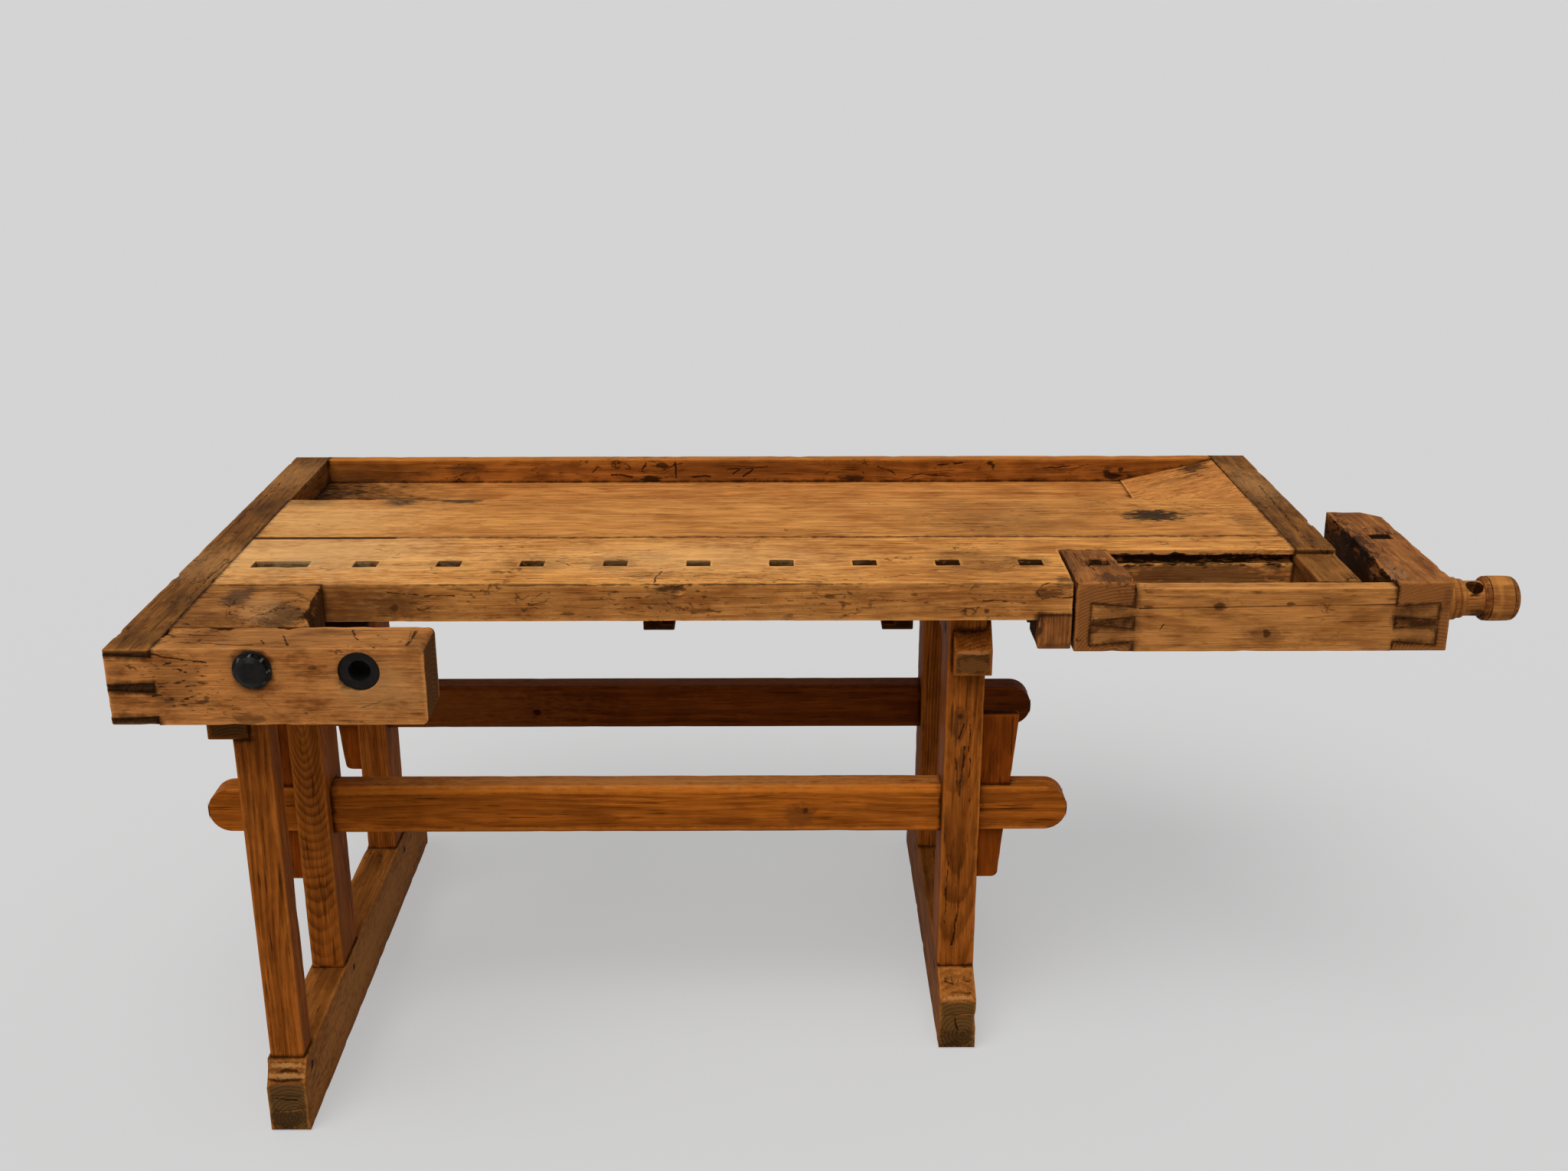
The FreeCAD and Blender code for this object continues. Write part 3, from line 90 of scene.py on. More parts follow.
class Graph:
    """Writes the nodes of a material or of the world; most methods give back an output socket."""

    def __init__(self, owner):
        owner.use_nodes = True
        self.owner, self.tree = owner, owner.node_tree

    def feed(self, node, given):
        """Fills inputs, by number or name, with sockets or plain values."""
        for key, value in dict(given).items():
            if isinstance(value, bpy.types.NodeSocket):
                self.tree.links.new(value, node.inputs[key])
            else:
                node.inputs[key].default_value = value

    def put(self, kind, given=(), output=0, **settings):
        node = self.tree.nodes.new("ShaderNode" + kind)
        for key, value in settings.items():
            setattr(node, key, value)
        self.feed(node, given)
        return node.outputs[output] if node.outputs else node

    def math(self, operation, *given):
        return self.put("Math", enumerate(given), operation=operation)

    def times(self, a, b):
        return self.math("MULTIPLY", a, b)

    def plus(self, a, b):
        return self.math("ADD", a, b)

    def heaped(self, total, *layers):
        """Adds each layer times its weight to the total."""
        for layer, weight in layers:
            total = self.math("MULTIPLY_ADD", layer, weight, total)
        return total

    def vector(self, operation, *given):
        output = "Value" if operation in ("LENGTH", "DOT_PRODUCT") else "Vector"
        return self.put("VectorMath", enumerate(given), output, operation=operation)

    def scaled(self, a, factor):
        return self.put("VectorMath", {0: a, "Scale": factor}, "Vector", operation="SCALE")

    def split(self, a):
        return list(self.put("SeparateXYZ", {0: a}).node.outputs)

    def join(self, x, y, z):
        return self.put("CombineXYZ", enumerate((x, y, z)))

    def noise(self, place, scale, detail, roughness, colour=False):
        given = {"Vector": place, "Scale": scale, "Detail": detail, "Roughness": roughness}
        return self.put("TexNoise", given, "Color" if colour else "Fac")

    def centred(self, *given, **more):
        """Noise about zero, so that what it is added to wanders both ways."""
        if "colour" in more:
            return self.vector("SUBTRACT", self.noise(*given, **more), (0.5, 0.5, 0.5))
        return self.math("SUBTRACT", self.noise(*given), 0.5)

    def cells(self, place, scale, feature="F1"):
        return self.put("TexVoronoi", {"Vector": place, "Scale": scale}, "Distance", feature=feature)

    def smooth(self, value, start, end, low=0, high=1):
        """A smooth step from low at start to high at end."""
        given = {"Value": value, "From Min": start, "From Max": end, "To Min": low, "To Max": high}
        return self.put("MapRange", given, "Result", interpolation_type="SMOOTHSTEP")

    def mix(self, factor, a, b, blend="MIX"):
        return self.put("Mix", {0: factor, 6: a, 7: b}, 2, data_type="RGBA", blend_type=blend)

    def painted(self, colour, *layers):
        """Lays other colours over this one, each where its mask is and at its strength."""
        for mask, strength, other in layers:
            colour = self.mix(self.times(mask, strength), colour, other)
        return colour

    def stored(self, name):
        return self.put("Attribute", (), "Fac", attribute_type="GEOMETRY", attribute_name=name)

    def surface(self, height, depth, strength, given):
        """Feeds the material's shader, with a bump of that depth in metres."""
        bump = self.put("Bump", {"Strength": strength, "Distance": depth, "Height": height}, "Normal")
        self.feed(self.tree.nodes["Principled BSDF"], {"Normal": bump, **given})
        return self.owner


def stain_mask(g, place, ragged, centre, reach, rim=(1.05, 0.55)):
    """A blotch with a ragged rim round a centre, reach being its half sizes in millimetres."""
    away = g.vector("SUBTRACT", place, tuple(at(*centre)))
    away = g.vector("DIVIDE", away, tuple(Vector(reach) * MM))
    return g.smooth(g.plus(g.vector("LENGTH", away), ragged), *rim)


def crack_mask(g, place, start, end, width):
    """A thin line from start to end; place is already warped, so that the line wanders."""
    a, b = at(*start), at(*end)
    line = b - a
    reach = line.length
    line.normalize()
    away = g.vector("SUBTRACT", place, tuple(a))
    along = g.vector("DOT_PRODUCT", away, tuple(line))
    clamped = g.math("MINIMUM", g.math("MAXIMUM", along, 0), reach)
    nearest = g.scaled(tuple(line), clamped)
    return g.smooth(g.vector("LENGTH", g.vector("SUBTRACT", away, nearest)), width * MM, width * MM * 0.25)


# --- timber


def timber(red, green, blue):
    """A wood colour, given as it looks under the pale sheen of old oil."""
    r, g, b, a = shade(red, green, blue)
    return [r, g * 0.88, b * 0.68, a]


class Wood:
    """What tells one board's timber from another's. Rings are so many millimetres apart, the rest are strengths."""

    def __init__(self, light, dark, deep, ring=7, rings=0.45, streaks=0.7, nicks=0.2,
                 stains=0.5, gloss=0.56, wear=0.5, end=None, clouds=0.6):
        self.light, self.dark, self.deep = timber(*light), timber(*dark), timber(*deep)
        self.end = timber(*(end or deep))
        self.pale = [min(1, c * 1.3) for c in self.light[:3]] + [1]
        self.ring, self.rings, self.streaks, self.nicks = ring, rings, streaks, nicks
        self.stains, self.gloss, self.wear, self.clouds = stains, gloss, wear, clouds


PLANK = Wood((228, 169, 101), (150, 90, 42), (58, 30, 15), streaks=0.66, nicks=0.62, wear=0.6, end=(96, 58, 32))
PLANK_REAR = Wood((216, 157, 92), (152, 92, 43), (60, 33, 18), rings=0.42, streaks=0.68, nicks=0.4, stains=0.45,
                  end=(96, 58, 32), clouds=0.5)
TRAY = Wood((216, 154, 92), (144, 84, 40), (60, 32, 18), nicks=0.35, gloss=0.58, wear=0.3, clouds=0.5)
ARM = Wood((206, 146, 88), (138, 86, 44), (44, 24, 13), rings=0.25, streaks=0.38, nicks=0.7, stains=0.75,
           wear=0.7, end=(92, 62, 36), clouds=0.8)
SPACER = Wood((176, 123, 70), (108, 70, 40), (38, 26, 18), rings=0.4, nicks=1, stains=0.8, gloss=0.62,
              wear=0.7, end=(80, 54, 34), clouds=0.8)
CAP = Wood((153, 105, 56), (88, 57, 34), (34, 21, 13), ring=5, rings=0.35, streaks=0.85, nicks=0.75,
           stains=0.8, gloss=0.6, end=(58, 38, 26), clouds=0.7)
JAW = Wood((176, 118, 70), (96, 59, 33), (36, 20, 12), ring=5, rings=0.4, nicks=0.65, stains=0.8,
           end=(150, 98, 56))
RAIL = Wood((212, 154, 92), (138, 90, 48), (46, 26, 13), ring=6.5, streaks=0.62, nicks=0.4, gloss=0.54,
            wear=0.55, end=(150, 96, 54))
BACK = Wood((190, 124, 58), (112, 66, 28), (38, 17, 8), ring=8, nicks=0.7, gloss=0.52)
POST = Wood((184, 112, 47), (100, 54, 18), (34, 17, 7), ring=5, rings=0.7, streaks=0.8, nicks=0.25,
            stains=0.45, gloss=0.54, wear=0.6, end=(86, 60, 36), clouds=0.35)
MIDDLE_POST = Wood((178, 108, 44), (86, 44, 14), (34, 17, 7), ring=3.4, rings=0.7, streaks=0.5, nicks=0.15,
                   stains=0.3, gloss=0.54, wear=0.6, end=(86, 60, 36), clouds=0.25)
FOOT = Wood((177, 115, 56), (112, 68, 30), (38, 23, 12), ring=6, rings=0.7, streaks=0.75, nicks=0.45,
            stains=0.55, gloss=0.57, wear=0.6, end=(104, 78, 46), clouds=0.5)
STRETCHER = Wood((194, 116, 42), (120, 64, 19), (40, 17, 6), ring=9, rings=0.55, streaks=0.75, nicks=0.12,
                 stains=0.35, gloss=0.48, wear=0.85, end=(120, 64, 26), clouds=0.3)
# painted shade: a darker copy of the stretcher's wood, for the stretcher that stands back under the top
SHADED_REAR_STRETCHER = Wood((142, 78, 28), (78, 36, 11), (28, 12, 4), ring=9, rings=0.55, streaks=0.75, nicks=0.12,
                      stains=0.35, gloss=0.5, wear=0.3, end=(84, 44, 19), clouds=0.3)
WEDGE = Wood((158, 84, 26), (102, 50, 14), (38, 17, 6), rings=0.55, streaks=0.6, nicks=0.12, stains=0.35,
             gloss=0.5, wear=0.35, clouds=0.4)
UNDER = Wood((112, 70, 37), (76, 46, 24), (34, 20, 12), ring=6, rings=0.5, streaks=0.75, nicks=0.35,
             gloss=0.58, wear=0.3, clouds=0.4)
TURNED = Wood((190, 132, 74), (124, 80, 42), (46, 23, 13), ring=4, streaks=0.6, nicks=0.25, gloss=0.46,
              end=(128, 78, 47), clouds=0.45)

# features in a metre, along the grain and across it, then the noise's detail and roughness
DRIFT, TREMBLE, STREAK, FIBRE = (1.6, 4, 2, 0.5), (7, 70, 2, 0.5), (2.6, 60, 4, 0.62), (16, 520, 2, 0.6)
DASH, THREAD, CLOUD = (11, 190, 3, 0.6), (4.5, 170, 3, 0.55), (15, 42, 5, 0.68)
# painted shade, multiplied into the sides and undersides of every board
SIDE_SHADE_TINT = (0.93, 0.86, 0.85, 1)
OIL_GLEAM, IRON_GLEAM = 0.012, 0.16


class Grain:
    """A board's coordinates in metres: along its grain and across it, and its place and normal in the row frame."""

    def __init__(self, g, axis, seed):
        self.g, self.axis, self.shift = g, axis, 3.17 * seed
        outputs = g.put("TexCoord").node.outputs
        self.place, self.normal = outputs["Object"], outputs["Normal"]
        self.axes = {X: (X, Y, Z), Y: (Y, X, Z), Z: (Z, X, Y)}[axis]
        parts = g.split(self.place)
        self.station, self.across, self.up = (parts[i] for i in self.axes)
        self.along = g.plus(self.station, self.shift)
        slender = [1, 1, 1]
        slender[axis] = 0.3
        self.slender = tuple(slender)

    def drawn(self, along, across):
        """The place with its features drawn out along the grain."""
        g = self.g
        return g.join(g.times(self.along, along), g.times(self.across, across), g.times(self.up, across))

    def figure(self, along, across, detail, roughness, **more):
        return self.g.noise(self.drawn(along, across), 1, detail, roughness, **more)

    def moved(self, x, y, z):
        return self.g.vector("ADD", self.place, (x, y, z))

    def narrowed(self, place):
        return self.g.vector("MULTIPLY", place, self.slender)

    def along_it(self):
        """1 on the sawn ends, 0 on the faces."""
        facing = self.g.vector("DOT_PRODUCT", self.normal, tuple(unit(self.axis)))
        return self.g.math("ABSOLUTE", facing)


def late_wood(board, kind, middle, pith, lean, push, blotch):
    """The dark part of each growth ring, on cylinders round a pith line that drifts and may lean."""
    g = board.g
    drift = g.split(board.figure(*DRIFT, colour=True))
    middle_across, middle_up = (middle[i] for i in board.axes[1:])
    warp_across, warp_up = (push(side) for side in (board.across, board.up))
    if lean:
        warp_up = g.plus(warp_up, g.times(g.math("SUBTRACT", board.station, middle[board.axis]), lean))
    across = g.math("SUBTRACT", warp_across, middle_across + pith[0] + 0.03)
    up = g.math("SUBTRACT", warp_up, middle_up + pith[1] + 0.03)
    across, up = (g.heaped(side, (drift[k], 0.06)) for k, side in enumerate((across, up)))
    radius = g.math("SQRT", g.plus(g.times(across, across), g.times(up, up)))
    radius = g.heaped(radius, (board.figure(*TREMBLE), 0.0022))
    turn = g.math("FRACT", g.math("DIVIDE", radius, kind.ring * MM))
    late = g.times(g.smooth(turn, 0.2, 0.82), g.smooth(turn, 1, 0.88))
    return g.times(late, g.smooth(blotch, 0.3, 0.62, 0.35, 1))


def nicks(board, kind):
    """Short curled nicks, most of them where a patch has been knocked about, and specks."""
    g, shift = board.g, board.shift
    curl = g.centred(board.moved(0, shift, 0), 38, 2, 0.5, colour=True)
    bent = board.narrowed(g.vector("ADD", board.place, g.scaled(curl, 0.03)))
    rift = g.math("SUBTRACT", 1, g.smooth(g.cells(bent, 34, "DISTANCE_TO_EDGE"), 0.01, 0.06))
    rift = g.times(rift, g.smooth(g.noise(board.moved(shift, 0, 0), 52, 2, 0.5), 0.44, 0.56))
    patch = g.noise(board.moved(0, 0, shift), 13, 4, 0.6)
    knocked = g.smooth(patch, 0.62 - 0.12 * kind.nicks, 0.68 - 0.1 * kind.nicks)
    nick = g.times(g.times(rift, knocked), min(1, kind.nicks * 1.3))
    size = g.times(g.smooth(patch, 0.45, 0.75, 0.03, 0.13), kind.nicks + 0.3)
    speck = g.math("LESS_THAN", g.cells(board.moved(shift, shift, 0), 60), size)
    return g.math("MAXIMUM", nick, g.times(speck, 0.8))


def stained(board, colour, level, stains):
    """Lays the stains on in their order, painted shade and painted light among them; level is 1 on the sides and 0 on
    the top.
    """
    g = board.g
    small = g.centred(board.drawn(*CLOUD[:2]), 4, 3, 0.6)
    torn = g.centred(board.narrowed(board.place), 150, 2, 0.6)
    rim = g.heaped(g.centred(board.place, 30, 5, 0.68), (small, 1.5), (torn, 1.3))
    flecks = g.noise(board.narrowed(board.place), 190, 3, 0.6)
    for centre, reach, strength, tint, *manner in stains:
        mask = stain_mask(g, board.place, rim, centre, reach, (1.4, 0) if "soft" in manner else (1.05, 0.55))
        # painted shade on the walls of holes: the mask is kept to the side faces
        if "shaded_walls" in manner:
            mask = g.times(mask, level)
        if "specks" in manner:
            mask = g.times(mask, g.smooth(flecks, 0.56, 0.64))
        colour = g.painted(colour, (mask, strength, shade(*tint)))
    return colour


def wood(name, kind, grain, seed, pith=(0.015, -0.1), lean=0, stains=(), cracks=(), knots=()):
    """Timber with its grain along one axis, rings round a pith line, streaks, nicks, stains and worn edges."""
    g = Graph(bpy.data.materials.new("wood_" + name))
    board = Grain(g, grain, seed)
    place = board.place

    # knots push the grain aside round them
    knot_marks = []
    gnarl = g.heaped(-0.9, (g.noise(place, 75, 3, 0.65), 1.8))
    for centre, size in knots:
        mask = stain_mask(g, place, 0, centre, [size * 3.2 if i == grain else size * 1.5 for i in range(3)])
        core = stain_mask(g, place, gnarl, centre, (size * 0.9,) * 3)
        knot_marks.append((mask, core, size))

    def push(side):
        for mask, core, size in knot_marks:
            side = g.plus(side, g.times(mask, size * MM * 0.9))
        return side

    blotch = g.noise(board.moved(board.shift, 0, 0), 7, 3, 0.55)
    late = late_wood(board, kind, middle_of(name), pith, lean, push, blotch)
    streak, fibre, dash, thread, cloud = (board.figure(*scales) for scales in (STREAK, FIBRE, DASH, THREAD, CLOUD))
    dash, thread = g.smooth(dash, 0.58, 0.7), g.smooth(thread, 0.4, 0.66)
    tone = g.math("MAXIMUM", g.times(g.smooth(streak, 0.38, 0.64), 0.85), g.times(thread, 0.6))
    colour = g.painted(
        kind.light, (tone, kind.streaks * 0.8, kind.dark), (late, kind.rings, kind.dark),
        (g.smooth(blotch, 0.45, 0.66), kind.stains * 0.7, kind.dark),
        (g.smooth(cloud, 0.5, 0.66), kind.clouds, kind.dark),
        (g.smooth(cloud, 0.48, 0.36), kind.clouds * 0.5, kind.pale))
    lightness = g.smooth(fibre, 0.25, 0.8, 0.725, 1.2)
    colour = g.mix(1, colour, g.join(lightness, lightness, lightness), "MULTIPLY")
    colour = g.painted(colour, (dash, 0.6, kind.deep))

    # painted shade: the sides and undersides are tinted darker and browner than the top
    level = g.smooth(g.split(board.normal)[2], 0.9, 0.3)
    colour = g.mix(level, colour, g.mix(1, colour, SIDE_SHADE_TINT, "MULTIPLY"))

    # the sawn ends of the board are darker and drink more dirt
    sawn = g.smooth(board.along_it(), 0.89, 0.97)
    nick = nicks(board, kind)
    colour = g.painted(colour, (sawn, 0.9, g.painted(kind.end, (late, 0.45, kind.deep))), (nick, 0.85, kind.deep))

    # worn arrises; dirt and painted shade beside neighbouring parts
    ragged = g.centred(place, 55, 4, 0.65)
    edge = g.smooth(g.plus(g.stored("wear"), ragged), 0.45, 1)
    dirt = g.smooth(g.plus(g.stored("grime_and_shade"), g.times(ragged, 1.3)), 0.35, 1)
    colour = g.painted(colour, (edge, kind.wear * 0.6, kind.pale), (dirt, 0.85, kind.deep))

    for mask, core, size in knot_marks:
        colour = g.painted(colour, (mask, 0.35, kind.dark), (core, 0.8, kind.deep))
    colour = stained(board, colour, level, stains)
    sunk = nick
    if cracks:
        wander = g.centred(place, 32, 3, 0.6, colour=True)
        strayed = g.vector("ADD", place, g.scaled(wander, 0.012))
        for start, end, width, *manner in cracks:
            mask = crack_mask(g, place if "straight" in manner else strayed, start, end, width)
            colour = g.painted(colour, (mask, 0.9, kind.deep))
            sunk = g.math("MAXIMUM", sunk, mask)

    height = g.heaped(g.times(fibre, 0.35), (late, 0.22), (streak, 0.3), (ragged, 0.25), (dash, -0.35), (sunk, -1.3))
    roughness = g.heaped(kind.gloss - 0.06, (streak, 0.16), (sawn, 0.15), (nick, 0.2))
    given = {"Base Color": colour, "Roughness": roughness, "Specular IOR Level": OIL_GLEAM}
    return g.surface(height, 1.1 * MM, 0.75, given)


def iron(name, shaded_bore=None):
    """Forged iron, blackened by oil and age, with bare metal on its raised parts and, when a bore is given, painted
    shade darkening it to near black.
    """
    g = Graph(bpy.data.materials.new(name))
    place = g.put("TexCoord", output="Object")
    mottle = g.noise(place, 90, 4, 0.65)
    grains = g.noise(place, 420, 2, 0.6)
    colour = g.mix(g.smooth(mottle, 0.35, 0.7), shade(12, 10, 9), shade(28, 23, 20))
    rust = g.smooth(g.noise(place, 60, 3, 0.6), 0.6, 0.74)
    bare = g.smooth(g.plus(g.stored("wear"), g.math("SUBTRACT", mottle, 0.5)), 0.4, 1)
    colour = g.painted(colour, (rust, 0.4, shade(52, 34, 23)), (bare, 0.5, shade(140, 134, 128)))
    roughness = g.heaped(0.22, (mottle, 0.3))
    if shaded_bore:
        # painted shade: the bore of the nut darkened to near black and made matt
        soot = stain_mask(g, place, 0, *shaded_bore, (1, 0.94))
        colour = g.mix(soot, colour, shade(9, 8, 7))
        roughness = g.math("MAXIMUM", roughness, soot)
    height = g.heaped(g.times(grains, 0.3), (mottle, 0.8))
    given = {"Base Color": colour, "Roughness": roughness, "Metallic": 0.15, "Specular IOR Level": IRON_GLEAM}
    return g.surface(height, 0.6 * MM, 0.5, given)


# --- worn solids

SHARP_ANGLE = math.radians(25)
SHARE_OF_ROOM = 0.34  # of the shortest edge that meets an arris
# lengths in metres
LEAST_BEVEL, WIDEST_BEVEL, SHORTEST_ARRIS = 0.0003, 0.006, 0.006
BESIDE = 0.0006  # a neighbour this near covers an edge
TOUCHING = 0.0009  # and this near it covers a surface
DIRT_AND_SHADE_REACH = 0.01  # from a neighbour
CHIP_REACH = 0.007  # from an arris
STRAY = 0.8  # millimetres that a crack wanders


def opened(mesh):
    bm = bmesh.new()
    bm.from_mesh(mesh)
    return bm


def mesh_of(bm, name):
    mesh = bpy.data.meshes.new(name)
    bm.to_mesh(mesh)
    bm.free()
    return mesh


def placed(name, data):
    piece = bpy.data.objects.new(name, data)
    bpy.context.scene.collection.objects.link(piece)
    return piece


def applied(piece):
    """The piece's shape with its modifiers applied; the piece itself is taken away."""
    graph = bpy.context.evaluated_depsgraph_get()
    done = bpy.data.meshes.new_from_object(piece.evaluated_get(graph))
    bpy.data.objects.remove(piece)
    return opened(done)


def tree_of(mesh):
    bm = opened(mesh)
    tree = BVHTree.FromBMesh(bm)
    bm.free()
    return tree


trees = {name: tree_of(o.data) for name, o in nodes.items()}
boxes = {name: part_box(name) for name in nodes}


def neighbours(name, reach=0.012):
    """The trees of the other parts whose boxes come near this one's."""
    low, high = boxes[name]
    near = []
    for other, (a, b) in boxes.items():
        if other != name and all(a[i] <= high[i] + reach and b[i] >= low[i] - reach for i in range(3)):
            near.append(trees[other])
    return near


def clean_copy(name):
    bm = opened(nodes[name].data)
    bmesh.ops.remove_doubles(bm, verts=bm.verts, dist=1e-5)
    bmesh.ops.dissolve_limit(bm, angle_limit=math.radians(1), verts=bm.verts, edges=bm.edges)
    bm.normal_update()
    return bm


def sharp(edge):
    return len(edge.link_faces) == 2 and edge.is_convex and edge.calc_face_angle(0) > SHARP_ANGLE


def room_at(edge):
    """The shortest edge that meets this one at either end: a bevel may not use it up."""
    lengths = [other.calc_length() for v in edge.verts for other in v.link_edges if other != edge]
    return min(lengths) if lengths else edge.calc_length()


def mark_arrises(bm, near, arris, joint):
    """Writes each convex edge's bevel and gives back the exposed edges as pairs of points."""
    layer = bm.edges.layers.float.new("bevel_weight_edge")
    exposed = []
    for edge in bm.edges:
        if not sharp(edge):
            continue
        a, b = (v.co.copy() for v in edge.verts)
        spots = [a.lerp(b, t) for t in (0.08, 0.3, 0.5, 0.7, 0.92)]
        touching = sum(any(t.find_nearest(p, BESIDE)[0] is not None for t in near) for p in spots)
        wanted = joint if touching >= 4 else arris * (0.6 if touching else 1.0)
        size = min(wanted * MM, SHARE_OF_ROOM * room_at(edge))
        if touching < 4 and (b - a).length > SHORTEST_ARRIS:
            exposed.append((a, b))
        if size > LEAST_BEVEL:
            edge[layer] = size / WIDEST_BEVEL
    return exposed


def bevelled(bm, name):
    piece = placed(name, mesh_of(bm, name))
    modifier = piece.modifiers.new("arris", "BEVEL")
    modifier.limit_method = "WEIGHT"
    modifier.width = WIDEST_BEVEL
    modifier.segments = 3
    modifier.use_clamp_overlap = False
    return applied(piece)


def slice_at(bm, point, normal, geometry=None):
    """Cuts the whole surface, or a part of it, along a plane and gives back the part with its new pieces."""
    if geometry is None:
        geometry = list(bm.verts) + list(bm.edges) + list(bm.faces)
    cut = bmesh.ops.bisect_plane(bm, geom=geometry, dist=2e-5, plane_co=point, plane_no=normal)
    return [item for item in cut["geom"] if item.is_valid]


def grid(bm, low, high, step):
    """Cuts the surface into a grid, with one more line just inside each side of its box."""
    for axis in range(3):
        size = high[axis] - low[axis]
        count = max(1, round(size / (step * MM)))
        cuts = [low[axis] + size * k / count for k in range(1, count)]
        if size > 0.03:
            cuts += [low[axis] + 5 * MM, high[axis] - 5 * MM]
        for cut in cuts:
            point = Vector((0, 0, 0))
            point[axis] = cut
            slice_at(bm, point, unit(axis))


def part_near(bm, low, high, pad=12 * MM):
    """The faces that have a corner in or near a box, with their edges and corners."""
    faces = set()
    for v in bm.verts:
        if all(a - pad < c < b + pad for a, c, b in zip(low, v.co, high)):
            faces.update(v.link_faces)
    edges = {e for f in faces for e in f.edges}
    verts = {v for f in faces for v in f.verts}
    return [*verts, *edges, *faces]


def refine(bm, centre, reach, step=3.0):
    """Closer cuts round a chip."""
    middle = at(*centre)
    spread = Vector((reach, reach, reach)) * MM
    part = part_near(bm, middle - spread, middle + spread)
    count = max(1, round(reach / step))
    for normal in (unit(axis) for axis in range(3)):
        for k in range(-count, count + 1):
            if part:
                part = slice_at(bm, middle + normal * (k * step * MM), normal, part)


def groove(bm, start, end, face, width, depth, seed):
    """A crack that opens as a narrow valley: three lines of cuts, of which the middle one is pushed in."""
    a, b, outward = at(*start), at(*end), Vector(face)
    line = (b - a).normalized()
    side = line.cross(outward).normalized()
    pad = Vector((1, 1, 1)) * width * 3 * MM
    low = Vector([min(a[i], b[i]) for i in range(3)]) - pad
    high = Vector([max(a[i], b[i]) for i in range(3)]) + pad
    part = part_near(bm, low, high)
    for offset in (-width, 0.0, width):
        if part:
            part = slice_at(bm, a + side * offset * MM, side, part)
    bm.normal_update()
    reach = (b - a).length
    for v in bm.verts:
        away = v.co - a
        t, s, up = away.dot(line), away.dot(side), away.dot(outward)
        if 0 < t < reach and abs(s) < width * 1.3 * MM and abs(up) < 2.5 * MM:
            open_here = min(1.0, 4 * min(t, reach - t) / reach)
            v.co += side * (noise.noise(Vector((t * 35, seed, 0))) * STRAY * MM)
            if abs(s) < 0.3 * width * MM:
                v.co -= outward * depth * MM * open_here


def edge_distance(points, segments):
    best = np.full(len(points), 1.0)
    for a, b in segments:
        a, line = np.array(a), np.array(b - a)
        t = np.clip(((points - a) @ line) / (line @ line), 0, 1)
        best = np.minimum(best, np.linalg.norm(points - (a + t[:, None] * line), axis=1))
    return best


def weather(bm, name, exposed, near, seed, wobble, chipping, chips, worn_reach, dirt):
    """Moves the surface inward, never outward, and stores where it is worn and where dirt and painted shade gather
    beside neighbouring parts.
    """
    bm.normal_update()
    wear_layer = bm.verts.layers.float.new("wear")
    grime_and_shade_layer = bm.verts.layers.float.new("grime_and_shade")
    points = np.array([v.co for v in bm.verts], float).reshape(-1, 3)
    moves = []
    for v, gap in zip(bm.verts, edge_distance(points, exposed)):
        p = v.co + Vector((seed * 1.7, seed * 0.9, seed * 2.3))  # each board has its own stretch of the noise
        closest = 0.02
        for tree in near:
            found = tree.find_nearest(v.co, closest)
            if found[0] is not None:
                closest = min(closest, found[3])
        free = closest >= TOUCHING
        v[wear_layer] = math.exp(-((gap / (worn_reach * MM)) ** 2)) if free else 0.0
        # dirt and painted shade: darker the nearer a neighbouring part
        v[grime_and_shade_layer] = dirt * max(0.0, 1.0 - closest / DIRT_AND_SHADE_REACH)
        depth = 0.0
        if free:
            wave = 0.5 + 0.5 * noise.noise(p * 9) + 0.25 * noise.noise(p * 28)
            knock = noise.noise(p * 24) + 0.6 * noise.noise(p * 70)
            depth = wobble * max(0.0, wave) * MM
            depth += chipping * math.exp(-((gap / CHIP_REACH) ** 2)) * max(0.0, knock - 0.1) * 2.2 * MM
        for centre, reach, deep in chips:
            away = (v.co - at(*centre)).length / (reach * MM)
            if away < 1:
                rough = 0.75 + 0.5 * noise.noise(p * 110)
                depth += deep * (1 - away * away) ** 0.8 * rough * MM
        moves.append((v, v.normal * -depth))
    for v, move in moves:
        v.co += move
    low, high = boxes[name]
    for v in bm.verts:
        v.co = [min(max(c, a), b) for c, a, b in zip(v.co, low, high)]


def to_object(bm, name, smooth_below=38):
    mesh = mesh_of(bm, name)
    mesh.shade_smooth()
    mesh.set_sharp_from_angle(angle=math.radians(smooth_below))
    piece = placed(name, mesh)
    piece.modifiers.new("even_normals", "WEIGHTED_NORMAL").keep_sharp = True
    return piece


def dyed(piece, material):
    piece.data.materials.clear()
    piece.data.materials.append(material)


def stand_for(piece, name, material):
    dyed(piece, material)
    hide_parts(name)
    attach(piece, body_of[name])


def worn(name, seed, material, arris=2.2, joint=0.8, step=14.0, wobble=0.45, chipping=0.8, chips=(), grooves=(),
         worn_reach=7.0, dirt=1.0):
    """The node's own solid with worn arrises, waves, chips and cracks; lengths are in millimetres."""
    near = neighbours(name)
    bm = clean_copy(name)
    exposed = mark_arrises(bm, near, arris, joint)
    bm = bevelled(bm, "worn_" + name)
    grid(bm, *boxes[name], step)
    for centre, reach, deep in chips:
        refine(bm, centre, reach)
    for k, given in enumerate(grooves):
        groove(bm, *given, seed + k)
    weather(bm, name, exposed, near, seed, wobble, chipping, chips, worn_reach, dirt)
    stand_for(to_object(bm, "worn_" + name), name, material)


def middle_of(name):
    low, high = boxes[name]
    return (low + high) / 2


# --- boards

INK = (34, 24, 18)
CHAR = (26, 16, 10)
UMBER = (74, 44, 24)
SOOT = (52, 34, 21)
